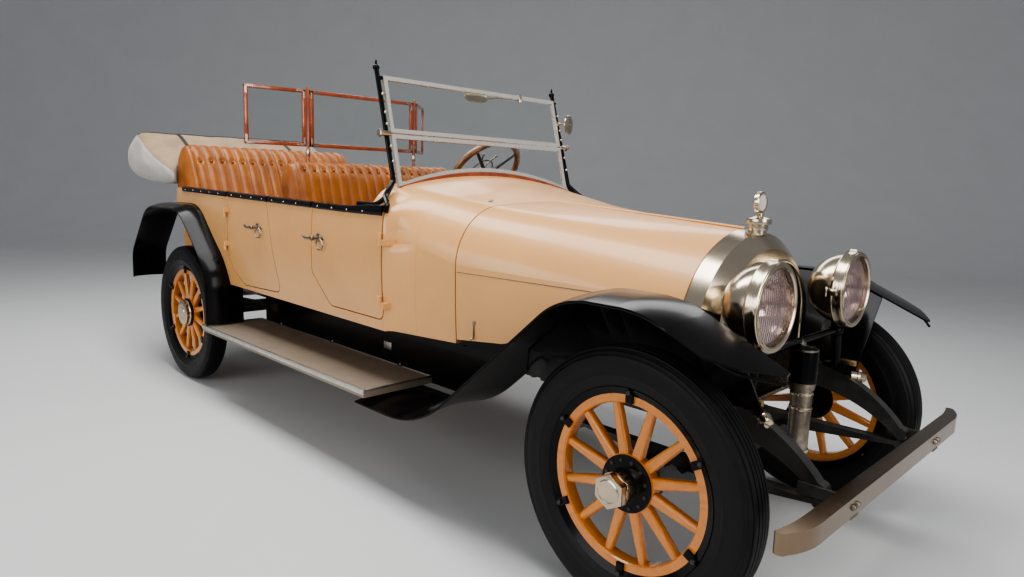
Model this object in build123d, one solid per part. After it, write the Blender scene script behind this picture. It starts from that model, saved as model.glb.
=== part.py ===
"""Antique touring car: open four-door body on a ladder frame, wooden-spoked wheels.

Lengths in millimetres. While modelling, x = 0 is the rear axle and grows forward,
y = 0 is the centre plane and grows to the car's left, z = 0 is the ground.
At the end everything moves by -centre_x, so the origin lies under the middle of the car.
"""
import os
from math import cos, hypot, radians, sin

from build123d import *

# %% Driving dimensions
wheelbase = 3607.0
track = 1422.0
running_fit = 0.05  # radial play of a shaft in its bore
press_play = 0.3  # round seats of one wheel's own rings
seat_gap = 0.3  # between a soft or trimmed piece and what it rests on
panel_play = 0.6  # round curved frames let into the body
panel_gap = 6.0  # around doors and hood halves

# %% Wheels
tyre_radius = 447.0
tyre_width = 127.0
bead_radius = 316.0
felloe_radius = 292.0
felloe_depth = 30.0
felloe_width = 54.0
felloe_outset = 8.0  # the felloe's middle stands this far outside the tyre's
spoke_count = 12
spoke_hub_width = 40.0
spoke_rim_width = 28.0
spoke_thickness = 40.0
hub_flange_radius = 94.0
hub_barrel_radius = 46.0
hub_inner_reach = 68.0  # the hub's inner end, from the wheel's middle plane
front_cap_radius = 50.0
front_cap_reach = 126.0
rear_cap_radius = 80.0
rear_cap_reach = 66.0
lug_count = 6
spindle_radius = 22.0
spindle_reach = 30.0  # how far the spindle goes past the wheel's middle plane
drum_radius = 178.0
drum_width = 62.0
drum_wall = 6.0

# %% Frame and axles
frame_half_width = 382.0  # middle of each side rail
rail_width = 45.0
rail_top = 700.0
rail_height = 120.0
rail_rear = -730.0
rail_front = 3700.0
horn_tip_x = 4075.0
horn_tip_z = 482.0
horn_tip_radius = 24.0
crossmember_stations = (-690.0, 430.0, 1800.0, 2515.0, 3420.0)
crossmember_width = 60.0
crossmember_height = 90.0
axle_tube_radius = 42.0
differential_radius = 150.0
torque_tube_radius = 38.0
torque_tube_front = 2350.0
kingpin_half_width = 575.0
kingpin_radius = 11.0
kingpin_boss_radius = 28.0
kingpin_boss_bottom = 395.0
kingpin_boss_top = 500.0
yoke_gap = 0.5
yoke_thickness = 22.0
axle_beam_height = 52.0
axle_beam_width = 46.0
axle_drop = 58.0
steering_arm_length = 170.0
steering_arm_thickness = 18.0
tie_rod_radius = 12.0
tie_rod_eye_radius = 22.0
tie_rod_pin_radius = 8.0
tie_rod_eye_height = 26.0
spring_width = 50.0
spring_thickness = 44.0
front_spring_half_length = 468.0
rear_spring_half_length = 530.0
rear_spring_half_width = 452.0
spring_eye_radius = 15.0
hanger_width = 40.0
rear_spring_end_z = 562.0

# %% Running gear under the floor
engine_length = 720.0
engine_width = 340.0
engine_height = 520.0
engine_front = 3420.0
engine_bottom = 480.0
engine_arm_rear = 2780.0
engine_arm_length = 60.0
exhaust_pipe_radius = 25.0
muffler_radius = 66.0
muffler_length = 620.0
muffler_rear = 900.0
exhaust_side = -225.0
exhaust_height = 535.0
exhaust_rear = -430.0
tank_radius = 128.0
tank_x = -590.0
tank_z = 548.0
tank_top = 590.0

# %% Body
body_bottom = 705.0
belt_rear = 1272.0
belt_front = 1243.0
body_rear = -420.0
body_wall = 38.0
floor_thickness = 30.0
door_jamb_x = 2255.0  # front edge of the front doors
cowl_rear = 2105.0
hood_seam = 2620.0
shell_rear = 3565.0
shell_front = 3678.0
hood_wall = 14.0
hood_edge_rear = 722.0
hood_edge_front = 868.0
lip_reach = 24.0
lip_thickness = 8.0
lip_gap = 1.0  # between the hood's inner face and the ledges under it
shell_stand_out = 4.0  # how far the radiator shell stands proud of the hood
cowl_wall = 22.0
firewall_x = 2560.0
firewall_thickness = 16.0
wheelhouse_half_width = 575.0
wheelhouse_top = 1190.0
wheelhouse_front = 580.0
hinge_outset = 14.0  # hinge pin's distance outside the widest skin
hinge_pin_radius = 4.0
hinge_barrel_radius = 9.0
hinge_barrel_height = 26.0

# %% Seats and folded top
cushion_bottom = 800.0
cushion_top = 1010.0
riser_half_width = 560.0
front_seat_half_width = 640.0
front_seat_top = 1486.0
rear_seat_top = 1587.0
boot_half_width = 762.0
seat_proud = 6.0  # how far the rear seat's roll stands over the body's edge
seat_roll_bottom = 1276.0

# %% Fenders, boards and front end
fender_edge = 842.0
fender_inner = 612.0
fender_crown_rise = 26.0
front_crown_rise = 20.0
fender_edge_rise = 6.0
sheet = 6.0
fender_overlap = 8.0
valance_drop = 2.0
valance_thickness = 12.0
front_tip_x = 4052.0
front_tip_y = 650.0
board_top = 455.0
board_thickness = 34.0
board_inner = 462.0
board_rear = 500.0
board_front = 2265.0
apron_y = 456.0
lamp_x = 3873.0
lamp_y = 344.0
lamp_z = 1014.0
lamp_radius = 148.0
lamp_depth = 178.0
lamp_wall = 6.0
bumper_half_width = 800.0
bumper_rear_x = 4136.0
bumper_depth = 52.0
bumper_bottom = 446.0
bumper_top = 508.0
horn_x = 3836.0
horn_radius = 38.0
horn_bottom = 440.0
horn_top = 690.0

# %% Steering and glass
steering_centre = (1730.0, 338.0, 1430.0)
steering_radius = 228.0
steering_rim_radius = 14.0
column_tilt = 39.5  # below the horizontal, going forward
column_radius = 19.0
dash_x = 2290.0
dash_thickness = 14.0
dash_bottom = 1100.0
lever_radius = 7.0
lever_knob_radius = 20.0
# foot x and y, top x and z
lever_table = ((1960, 40, 1900, 1130), (1985, 95, 1955, 1080))
pedal_x = 2420.0
# y and width of each pedal
pedal_table = ((250, 56), (425, 56), (520, 40))
post_tip = (1998.0, 603.0, 1891.0)
post_radius = 11.0
screen_top = (2023.0, 588.0, 1849.0)
screen_pivot = (2091.0, 588.0, 1587.0)
screen_bar = 20.0
screen_thickness = 14.0
glass_thickness = 6.0
tonneau_x = 980.0
tonneau_half_width = 385.0
tonneau_bottom = 1549.0
tonneau_top = 1876.0
wing_width = 352.0
wing_angle = 8.0
tonneau_bar = 22.0

boot_rear = -1262.0
centre_x = (bumper_rear_x + bumper_depth + boot_rear) / 2


# %% Helpers
def prism_y(points, y0, y1, radius=0.0):
    """A closed (x, z) outline carried from y0 to y1, corners rounded by radius."""
    corners = [(x, y0, z) for x, z in points]
    if radius:
        outline = FilletPolyline(*corners, radius=radius, close=True)
    else:
        outline = Polyline(*corners, close=True)
    face = Face(Wire(outline.edges()))
    return extrude(face, amount=abs(y1 - y0), dir=(0, 1 if y1 > y0 else -1, 0))


def prism_z(points, z0, z1):
    """A closed (x, y) outline carried from z0 up to z1."""
    outline = Polyline(*[(x, y, z0) for x, y in points], close=True)
    return extrude(Face(Wire(outline.edges())), amount=z1 - z0, dir=(0, 0, 1))


def prism_x(points, x0, x1):
    """A closed (y, z) outline carried from x0 forward to x1."""
    outline = Polyline(*[(x0, y, z) for y, z in points], close=True)
    return extrude(Face(Wire(outline.edges())), amount=x1 - x0, dir=(1, 0, 0))


def block(x0, x1, y0, y1, z0, z1):
    """A plain box between two corners."""
    size = (abs(x1 - x0), abs(y1 - y0), abs(z1 - z0))
    middle = ((x0 + x1) / 2, (y0 + y1) / 2, (z0 + z1) / 2)
    return Pos(*middle) * Box(*size)


def rod(start, end, radius):
    """A round bar from start to end."""
    a, b = Vector(*start), Vector(*end)
    plane = Plane(origin=a, z_dir=b - a)
    return extrude(plane * Circle(radius), amount=(b - a).length)


def tube_path(points, radii, radius):
    """A round bar along straight runs joined by arcs."""
    path = FilletPolyline(*points, radius=radii)
    start = path @ 0
    section = Plane(origin=start, z_dir=path % 0) * Circle(radius)
    return sweep(section, path=path)


def both_sides(solid):
    """The solid and its mirror image across the centre plane."""
    return [solid, mirror(solid, about=Plane.XZ)]


def fused(solids):
    """One shape from a list of touching or overlapping solids."""
    first, *rest = solids
    return first.fuse(*rest) if rest else first


# %% Wheels
def turned(profile, middle_x, middle_y, outward, wheel_z=tyre_radius):
    """Revolve (radius, offset) points about the wheel's axle; offset grows outward."""
    points = [(middle_x + r, middle_y + outward * a, wheel_z) for r, a in profile]
    outline = Polyline(*points, close=True)
    axis = Axis((middle_x, middle_y, wheel_z), (0, 1, 0))
    return revolve(Face(Wire(outline.edges())), axis=axis)


def tyre(middle_x, middle_y, outward):
    half = tyre_width / 2
    wall_radius = (bead_radius + tyre_radius) / 2 + 8
    tread_half = half * 0.56

    def at(radius, offset):
        return (middle_x + radius, middle_y + offset, tyre_radius)

    edges = [
        Line(at(bead_radius, -half + 16), at(bead_radius, half - 16)),
        Line(at(bead_radius, half - 16), at(bead_radius + 16, half - 8)),
        ThreePointArc(at(bead_radius + 16, half - 8), at(wall_radius, half),
                      at(tyre_radius - 22, half - 12)),
        ThreePointArc(at(tyre_radius - 22, half - 12), at(tyre_radius - 6, half - 21),
                      at(tyre_radius, tread_half)),
        Line(at(tyre_radius, tread_half), at(tyre_radius, -tread_half)),
        ThreePointArc(at(tyre_radius, -tread_half), at(tyre_radius - 6, -half + 21),
                      at(tyre_radius - 22, -half + 12)),
        ThreePointArc(at(tyre_radius - 22, -half + 12), at(wall_radius, -half),
                      at(bead_radius + 16, -half + 8)),
        Line(at(bead_radius + 16, -half + 8), at(bead_radius, -half + 16)),
    ]
    axis = Axis((middle_x, middle_y, tyre_radius), (0, 1, 0))
    return revolve(Face(Wire(edges)), axis=axis)


def wood_wheel(middle_x, middle_y, outward):
    """Felloe ring, tapered spokes and the mitred ring where they meet the hub."""
    low = felloe_outset - felloe_width / 2
    high = felloe_outset + felloe_width / 2
    felloe_inner = felloe_radius - felloe_depth
    outer = felloe_radius - press_play
    felloe = turned([(felloe_inner + 4, low), (outer, low), (outer, high),
                     (felloe_inner + 4, high), (felloe_inner, high - 6), (felloe_inner, low + 6)],
                    middle_x, middle_y, outward)
    mitre_half = spoke_thickness / 2
    bore = hub_barrel_radius + press_play
    mitre = turned([(bore, felloe_outset - mitre_half),
                    (hub_flange_radius + 3, felloe_outset - mitre_half),
                    (hub_flange_radius + 3, felloe_outset + mitre_half),
                    (bore, felloe_outset + mitre_half)],
                   middle_x, middle_y, outward)
    axle_y = middle_y + outward * felloe_outset
    root_radius = hub_flange_radius - 6
    foot = Plane(origin=(middle_x, axle_y, tyre_radius + root_radius), x_dir=(1, 0, 0),
                 z_dir=(0, 0, 1))
    tip = Plane(origin=(middle_x, axle_y, tyre_radius + felloe_inner + 3), x_dir=(1, 0, 0),
                z_dir=(0, 0, 1))
    foot_section = foot * RectangleRounded(spoke_hub_width, spoke_thickness - 4, 11)
    tip_section = tip * RectangleRounded(spoke_rim_width, spoke_thickness - 8, 11)
    spoke = loft([foot_section, tip_section])
    axis = Axis((middle_x, middle_y, tyre_radius), (0, 1, 0))
    spokes = [spoke.rotate(axis, 360 / spoke_count * (i + 0.5)) for i in range(spoke_count)]
    return fused([mitre, felloe, *spokes])


def hub_and_rim(middle_x, middle_y, outward, front):
    """The metal of the wheel: hub with flanges and cap, demountable rim with its lugs."""
    half = spoke_thickness / 2
    cap_radius = front_cap_radius if front else rear_cap_radius
    cap_reach = front_cap_reach if front else rear_cap_reach
    face_out = felloe_outset + half
    face_in = felloe_outset - half
    bore = spindle_radius + running_fit
    bore_end = spindle_reach + 3
    profile = [(bore, -hub_inner_reach), (hub_barrel_radius + 8, -hub_inner_reach),
               (hub_barrel_radius + 8, face_in - 9), (hub_flange_radius, face_in - 9),
               (hub_flange_radius, face_in), (hub_barrel_radius, face_in),
               (hub_barrel_radius, face_out), (hub_flange_radius, face_out),
               (hub_flange_radius, face_out + 7), (cap_radius + 6, face_out + 12),
               (cap_radius, face_out + 16), (cap_radius, cap_reach - 4),
               (cap_radius - 6, cap_reach), (0, cap_reach), (0, bore_end), (bore, bore_end)]
    hub = turned(profile, middle_x, middle_y, outward)
    rim_half = tyre_width / 2 - 16
    rim = turned([(felloe_radius, -rim_half + 12), (bead_radius, -rim_half),
                  (bead_radius, rim_half), (felloe_radius, rim_half - 12)],
                 middle_x, middle_y, outward)
    lug_y = middle_y + outward * (felloe_outset + felloe_width / 2)
    lug = block(middle_x - 13, middle_x + 13, lug_y, lug_y + outward * 10,
                tyre_radius + felloe_radius - 24, tyre_radius + bead_radius - 4)
    axis = Axis((middle_x, middle_y, tyre_radius), (0, 1, 0))
    lugs = [lug.rotate(axis, 360 / lug_count * i) for i in range(lug_count)]
    pieces = [fused([rim, *lugs]), hub]
    if not front:
        inner = -hub_inner_reach
        drum = turned([(hub_barrel_radius, inner), (drum_radius, inner),
                       (drum_radius, inner - drum_width), (drum_radius - drum_wall, inner - drum_width),
                       (drum_radius - drum_wall, inner - drum_wall), (hub_barrel_radius, inner - drum_wall)],
                      middle_x, middle_y, outward)
        collar = turned([(hub_barrel_radius - 6, inner + 10), (hub_barrel_radius + 8, inner + 10),
                         (hub_barrel_radius + 8, inner - drum_wall), (hub_barrel_radius - 6, inner - drum_wall)],
                        middle_x, middle_y, outward)
        pieces[1] = fused([hub, collar, drum])
    return Compound(children=pieces)


# %% Frame, axles and springs
def frame_rails():
    """Two pressed side rails that sweep down into the front horns."""
    bottom = rail_top - rail_height
    r = horn_tip_radius
    outline = [
        Line((rail_rear, 0, rail_top), (rail_front - 120, 0, rail_top)),
        ThreePointArc((rail_front - 120, 0, rail_top), (3905, 0, 642), (horn_tip_x, 0, horn_tip_z + r)),
        ThreePointArc((horn_tip_x, 0, horn_tip_z + r), (horn_tip_x + r, 0, horn_tip_z),
                      (horn_tip_x, 0, horn_tip_z - r)),
        ThreePointArc((horn_tip_x, 0, horn_tip_z - r), (3880, 0, 572), (rail_front - 160, 0, bottom)),
        Line((rail_front - 160, 0, bottom), (420, 0, bottom)),
        Line((420, 0, bottom), (220, 0, bottom + 40)),
        Line((220, 0, bottom + 40), (-260, 0, bottom + 40)),
        Line((-260, 0, bottom + 40), (rail_rear, 0, bottom + 20)),
        Line((rail_rear, 0, bottom + 20), (rail_rear, 0, rail_top)),
    ]
    rail = extrude(Face(Wire(outline)), amount=rail_width / 2, dir=(0, 1, 0), both=True)
    rail = Pos(0, frame_half_width, 0) * rail
    return Compound(children=both_sides(rail))


def frame_crossmembers():
    """Members between the rails, outriggers under the running boards, bumper arms."""
    inner = frame_half_width - rail_width / 2
    outer = frame_half_width + rail_width / 2
    solids = []
    for x in crossmember_stations:
        solids.append(block(x, x + crossmember_width, -inner, inner,
                            rail_top - 10 - crossmember_height + 20, rail_top - 10))
    for x in (700.0, 1400.0, 2080.0):
        bracket = fused([block(x, x + 40, outer, outer + 14, board_top - board_thickness - 16,
                               rail_top - 10),
                         block(x, x + 40, outer, 800, board_top - board_thickness - 16,
                               board_top - board_thickness)])
        solids += both_sides(bracket)
    arm = block(horn_tip_x - 60, bumper_rear_x, outer, outer + 10, horn_tip_z - 20, horn_tip_z + 16)
    solids += both_sides(arm)
    half = hanger_width / 2
    for x in (-rear_spring_half_length, rear_spring_half_length):
        hanger = block(x - half, x + half, outer, rear_spring_half_width - spring_width / 2 - seat_gap,
                       rear_spring_end_z - half, rail_top - 10)
        solids += both_sides(hanger)
    front_x = wheelbase - front_spring_half_length
    hanger = block(front_x - half, front_x + half, inner, outer,
                   horn_tip_z - horn_tip_radius - seat_gap, rail_top - rail_height)
    solids += both_sides(hanger)
    strap = block(-690, -690 + crossmember_width, 190, 230, tank_top, rail_top - 80)
    solids += both_sides(strap)
    return Compound(children=solids)


def leaf_spring(centre_x, centre_z, end_z, half_length, y):
    """Bowed stack of leaves with rolled eyes, thick in the middle."""
    top = spring_thickness / 2
    edges = [
        ThreePointArc((centre_x - half_length, y, end_z + 8), (centre_x, y, centre_z + top),
                      (centre_x + half_length, y, end_z + 8)),
        Line((centre_x + half_length, y, end_z + 8), (centre_x + half_length, y, end_z - 4)),
        Line((centre_x + half_length, y, end_z - 4), (centre_x + 110, y, centre_z - top)),
        Line((centre_x + 110, y, centre_z - top), (centre_x - 110, y, centre_z - top)),
        Line((centre_x - 110, y, centre_z - top), (centre_x - half_length, y, end_z - 4)),
        Line((centre_x - half_length, y, end_z - 4), (centre_x - half_length, y, end_z + 8)),
    ]
    stack = extrude(Face(Wire(edges)), amount=spring_width / 2, dir=(0, 1, 0), both=True)
    eyes = [rod((x, y - spring_width / 2, end_z), (x, y + spring_width / 2, end_z), spring_eye_radius)
            for x in (centre_x - half_length, centre_x + half_length)]
    return fused([stack, *eyes])


def springs():
    beam_top = kingpin_boss_top - axle_drop - 40
    front_end_z = horn_tip_z - horn_tip_radius - spring_eye_radius - 2 * seat_gap
    front = leaf_spring(wheelbase, beam_top + spring_thickness / 2 + 0.1, front_end_z,
                        front_spring_half_length, frame_half_width)
    rear_base = tyre_radius + axle_tube_radius
    rear = leaf_spring(0, rear_base + spring_thickness / 2 + 6, rear_spring_end_z,
                       rear_spring_half_length, rear_spring_half_width)
    return Compound(children=both_sides(front) + both_sides(rear))


def front_axle():
    """Dropped forged beam with the kingpin bosses at its ends."""
    end = kingpin_half_width
    top = kingpin_boss_top - 40
    low = top - axle_drop
    height = axle_beam_height
    profile = [(-end, top), (-end + 60, top), (-end + 130, low), (end - 130, low), (end - 60, top),
               (end, top), (end, top - height), (end - 40, top - height), (end - 120, low - height),
               (-end + 120, low - height), (-end + 40, top - height), (-end, top - height)]
    beam = prism_x(profile, wheelbase - axle_beam_width / 2, wheelbase + axle_beam_width / 2)
    bosses = [Pos(wheelbase, side * end, (kingpin_boss_top + kingpin_boss_bottom) / 2)
              * Cylinder(kingpin_boss_radius, kingpin_boss_top - kingpin_boss_bottom)
              for side in (1, -1)]
    bores = [Pos(wheelbase, side * end, (kingpin_boss_top + kingpin_boss_bottom) / 2)
             * Cylinder(kingpin_radius + running_fit, 400) for side in (1, -1)]
    return fused([beam, *bosses]) - bores


def knuckle(side):
    """Steering knuckle: yoke round the axle's boss, kingpin, spindle and steering arm."""
    y = kingpin_half_width
    web_inner = y + kingpin_boss_radius + 6
    web_outer = web_inner + 22
    top = kingpin_boss_top + yoke_gap
    low = kingpin_boss_bottom - yoke_gap
    wheel_y = track / 2
    ears = []
    for z0, z1 in ((top, top + yoke_thickness), (low - yoke_thickness, low)):
        ears.append(Pos(wheelbase, y, (z0 + z1) / 2) * Cylinder(kingpin_boss_radius, z1 - z0))
        ears.append(block(wheelbase - 24, wheelbase + 24, y, web_outer, z0, z1))
    web = block(wheelbase - 30, wheelbase + 30, web_inner, web_outer, low - yoke_thickness,
                top + yoke_thickness)
    pin = rod((wheelbase, y, low - 4), (wheelbase, y, top + 4), kingpin_radius)
    shoulder = rod((wheelbase, web_outer - 2, tyre_radius),
                   (wheelbase, wheel_y - hub_inner_reach - 0.5, tyre_radius), spindle_radius + 10)
    spindle = rod((wheelbase, web_outer - 2, tyre_radius),
                  (wheelbase, wheel_y + spindle_reach, tyre_radius), spindle_radius)
    arm_top = low - 2
    arm = block(wheelbase - steering_arm_length, wheelbase, y - 15, y + 15,
                arm_top - steering_arm_thickness, arm_top)
    arm_end = Pos(wheelbase - steering_arm_length, y, arm_top - steering_arm_thickness / 2) \
        * Cylinder(tie_rod_eye_radius, steering_arm_thickness)
    stud = rod((wheelbase - steering_arm_length, y, arm_top - 2),
               (wheelbase - steering_arm_length, y, arm_top - steering_arm_thickness
                - tie_rod_eye_height - 2), tie_rod_pin_radius)
    shape = fused([*ears, web, pin, shoulder, spindle, arm, arm_end, stud])
    return shape if side > 0 else mirror(shape, about=Plane.XZ)


def tie_rod():
    """Cross rod that keeps both knuckles parallel."""
    x = wheelbase - steering_arm_length
    top = kingpin_boss_bottom - yoke_gap - 2 - steering_arm_thickness - yoke_gap
    z = top - tie_rod_eye_height / 2
    y = kingpin_half_width
    bar = rod((x, -y + 12, z), (x, y - 12, z), tie_rod_radius)
    eyes = [Pos(x, side * y, z) * Cylinder(tie_rod_eye_radius, tie_rod_eye_height) for side in (1, -1)]
    bores = [Pos(x, side * y, z) * Cylinder(tie_rod_pin_radius + play, 80)
             for side, play in ((-1, running_fit), (1, seat_gap))]
    return fused([bar, *eyes]) - bores


def rear_axle():
    """Axle tubes, differential housing, torque tube, brake back plates and stub shafts."""
    wheel_y = track / 2
    plate_y = wheel_y - hub_inner_reach - drum_width - 1
    tube = rod((0, -plate_y + 4, tyre_radius), (0, plate_y - 4, tyre_radius), axle_tube_radius)
    housing = Pos(0, 0, tyre_radius) * Rot(90, 0, 0) * Cylinder(differential_radius, 150)
    housing = fillet(housing.edges().filter_by(GeomType.CIRCLE), 55)
    torque = rod((100, 0, tyre_radius), (torque_tube_front, 0, 560), torque_tube_radius)
    stubs = [rod((0, side * (plate_y - 20), tyre_radius),
                 (0, side * (wheel_y + spindle_reach), tyre_radius), spindle_radius) for side in (1, -1)]
    plates = [rod((0, side * (plate_y - 8), tyre_radius), (0, side * (plate_y), tyre_radius),
                  drum_radius - drum_wall - 2) for side in (1, -1)]
    pads = [block(-60, 60, side * (rear_spring_half_width - 32), side * (rear_spring_half_width + 32),
                  tyre_radius, tyre_radius + axle_tube_radius + 6) for side in (1, -1)]
    return fused([tube, housing, torque, *stubs, *plates, *pads])


def engine_block():
    """Closed engine as a plain block, with the arms that carry it on the rails."""
    engine = block(engine_front - engine_length, engine_front, -engine_width / 2, engine_width / 2,
                   engine_bottom, engine_bottom + engine_height)
    reach = frame_half_width - rail_width / 2
    arms = block(engine_arm_rear, engine_arm_rear + engine_arm_length, -reach, reach,
                 rail_top - 60, rail_top - 10)
    return fused([engine, arms])


def exhaust():
    y, z = exhaust_side, exhaust_height
    muffler = rod((muffler_rear, y, z), (muffler_rear + muffler_length, y, z), muffler_radius)
    muffler = fillet(muffler.edges().filter_by(GeomType.CIRCLE), 18)
    pipe = rod((exhaust_rear, y, z), (2700, y, z), exhaust_pipe_radius)
    flange_y = -engine_width / 2
    elbow = rod((2720, y, z), (2760, flange_y, z), exhaust_pipe_radius)
    joint = Pos(2710, y, z) * Sphere(exhaust_pipe_radius + 4)
    return fused([muffler, pipe, joint, elbow]) - engine_block()


def fuel_tank():
    reach = frame_half_width - rail_width / 2 - seat_gap
    tank = rod((tank_x, -reach, tank_z), (tank_x, reach, tank_z), tank_radius)
    return tank - block(-2000, 0, -2000, 2000, tank_top, 2000)


# %% Body shell
def tub_outline(z, grow):
    """Plan outline of the body at height z, grown outward by grow."""
    front = door_jamb_x + 20
    half_front = 733 + grow
    half_mid = 712 + grow
    half_rear = 694 + grow
    back = body_rear - grow
    corner_x = body_rear + 210
    points = [(front, half_front), (1000, half_mid), (corner_x, half_rear),
              (body_rear + 62 - grow * 0.7, half_rear - 66),
              (back + 12, half_rear - 230), (back, 0)]
    (p0, p1, p2, p3, p4, p5) = [(x, y, z) for x, y in points]

    def flip(p):
        return (p[0], -p[1], p[2])

    edges = [ThreePointArc(p0, p1, p2), ThreePointArc(p2, p3, p4), ThreePointArc(p4, p5, flip(p4)),
             ThreePointArc(flip(p4), flip(p3), flip(p2)), ThreePointArc(flip(p2), flip(p1), flip(p0)),
             Line(flip(p0), p0)]
    return Face(Wire(edges))


# height, how far the skin stands out there
tub_levels = ((body_bottom, -10.0), (960.0, 12.0), (1300.0, -4.0))


def tub_solid(inset, bottom, top):
    """The body's lofted form, inset from the skin, between two heights."""
    sections = [tub_outline(z, grow - inset) for z, grow in tub_levels]
    solid = loft(sections)
    return solid & block(-2000, 4000, -1500, 1500, bottom, top)


def body_side_profile():
    """Side view of the body: level sill, belt that falls gently forward."""
    return [(body_rear - 60, body_bottom), (door_jamb_x, body_bottom), (door_jamb_x, belt_front),
            (1900, belt_front), (body_rear - 60, belt_rear)]


# door: hinge x, outline corners (x, z), corner radius
rear_door_outline = [(600, 1400), (1118, 1400), (1118, 1243), (1268, 742), (800, 726), (660, 800), (600, 905)]
front_door_outline = [(1625, 1400), (door_jamb_x, 1400), (door_jamb_x, 752), (1790, 752), (1625, 905)]


def door_prism(outline, shrink, side):
    """A door's outline carried through the body side; shrink leaves the gap round it."""
    corners = [(x, 0, z) for x, z in outline]
    face = Face(Wire(Polyline(*corners, close=True).edges()))
    low_corners = face.vertices().filter_by(lambda v: v.Z < 1000)
    face = fillet(low_corners, 46)
    if shrink:
        face = offset(face, -shrink).faces()[0]
    solid = extrude(face, amount=200, dir=(0, 1, 0))
    return Pos(0, side * 560 if side > 0 else side * 760, 0) * solid


def wheelhouse_cut(side):
    """Room over a rear wheel, closed above by the fender."""
    cut = fender_under(rear_fender_path, -(sheet + 1))
    wall = fender_inner - 10
    box_y0, box_y1 = (wall, 900) if side > 0 else (-900, -wall)
    return cut(box_y0, box_y1)


def rear_room():
    """Solid corners inside the tub beside the rear seat, over the wheels."""
    solids = []
    for side in (1, -1):
        y0, y1 = sorted((side * wheelhouse_half_width, side * 760))
        solids.append(block(-1000, wheelhouse_front, y0, y1, body_bottom, wheelhouse_top))
    return solids


def hinge(x, z, side, toward):
    """Door and body halves of an outside hinge; toward is the door's direction in x."""
    y = side * hinge_line[toward]
    height = hinge_barrel_height
    skin = side * (hinge_line[toward] - 60)
    y0, y1 = sorted((y, skin))
    door_barrel = Pos(x, y, z + height / 2 + 0.5) * Cylinder(hinge_barrel_radius, height)
    near = x + toward * (panel_gap / 2 + 1)
    far = x + toward * 34
    door_leaf = block(near, far, y0, y1, z + 0.5, z + height + 0.5)
    tongue = block(x, near + toward * 2, y - 3, y + 3, z + 0.5, z + height + 0.5)
    bore = Pos(x, y, z) * Cylinder(hinge_pin_radius + running_fit, 4 * height)
    door_half = fused([door_barrel, door_leaf, tongue]) - bore
    body_barrel = Pos(x, y, z - height / 2 - 0.5) * Cylinder(hinge_barrel_radius, height)
    body_leaf = block(x - toward * (panel_gap / 2 + 1), x - toward * 34, y0, y1, z - height - 0.5, z - 0.5)
    body_tongue = block(x, x - toward * (panel_gap / 2 + 3), y - 3, y + 3, z - height - 0.5, z - 0.5)
    pin = Pos(x, y, z + 8) * Cylinder(hinge_pin_radius, height)
    return door_half, fused([body_barrel, body_leaf, body_tongue, pin])


# which way the door lies from its hinge, and the pin's distance from the centre plane
hinge_line = {-1: 733 + 12 + hinge_outset, 1: 706 + 12 + hinge_outset}
front_hinge_x = door_jamb_x
rear_hinge_x = 600.0
hinge_heights = (840.0, 1120.0)
rear_hinge_heights = (950.0, 1150.0)

# %% Fender paths: (x, z) corners of the outer edge and the radius at each
rear_fender_path = ([(-748, 610), (-742, 800), (-420, 1140), (150, 1152), (548, 800), (560, 462)],
                    [150, 260, 330, 300])
front_fender_path = ([(2190, 390), (2640, 390), (3375, 1030), (3690, 1030), (4052, 868)],
                     [560, 300, 420])


def fender_wire(path, lift=0.0, y=0.0):
    corners, radii = path
    points = [(x, y, z + lift) for x, z in corners]
    return FilletPolyline(*points, radius=list(radii))


def fender_strip(path, inner, outer, thickness, crown=None, down=0.0):
    """Crowned sheet swept along the path; down makes it a thick cutter instead."""
    rise = fender_crown_rise if crown is None else crown
    line = fender_wire(path)
    start, direction = line @ 0, line % 0
    middle = (inner + outer) / 2
    plane = Plane(origin=(start.X, 0, start.Z), x_dir=(0, 1, 0), z_dir=direction)
    if plane.y_dir.dot(Vector(-1, 0, 1)) < 0:
        plane = Plane(origin=(start.X, 0, start.Z), x_dir=(0, -1, 0), z_dir=direction)
        flip_y = -1
    else:
        flip_y = 1
    bottom = thickness + down
    edges = [
        ThreePointArc((flip_y * inner, fender_edge_rise), (flip_y * middle, rise), (flip_y * outer, 0)),
        Line((flip_y * outer, 0), (flip_y * outer, -bottom)),
        ThreePointArc((flip_y * outer, -bottom), (flip_y * middle, rise - bottom),
                      (flip_y * inner, fender_edge_rise - bottom)),
        Line((flip_y * inner, fender_edge_rise - bottom), (flip_y * inner, fender_edge_rise)),
    ]
    section = plane * Face(Wire(edges))
    return sweep(section, path=line)


def fender_under(path, lift):
    """Returns a cutter of everything under the path between two y values."""
    def cutter(y0, y1):
        corners, radii = path
        line = fender_wire(path, lift, y0)
        first, last = line @ 0, line @ 1
        closing = Polyline(last, (last.X, y0, 100), (first.X, y0, 100), first)
        face = Face(Wire([*line.edges(), *closing.edges()]))
        return extrude(face, amount=y1 - y0, dir=(0, 1, 0))
    return cutter


def front_plan():
    """(x, y) of the front fender's inner edge, from the running board to the tip."""
    return [(1500, board_inner), (2900, board_inner), (3050, fender_inner), (3700, fender_inner),
            (front_tip_x, front_tip_y - 20)]


def front_fender_top(x, y):
    """Height of the crowned front fender above the point x, y."""
    line = fender_wire(front_fender_path)
    low, high = 0.0, 1.0
    for _ in range(30):
        middle = (low + high) / 2
        if (line @ middle).X < x:
            low = middle
        else:
            high = middle
    share = (y - board_inner) / (fender_edge - board_inner)
    rise = fender_edge_rise * (1 - share)
    rise += (front_crown_rise - fender_edge_rise / 2) * 4 * share * (1 - share)
    return (line @ low).Z + rise / (line % low).X


# stations x of the panel between rail and fender
valance_stations = (2900, 2975, 3050, 3125, 3200, 3275, 3350, 3425, 3500, 3600, 3700, 3790, 3880)


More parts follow.
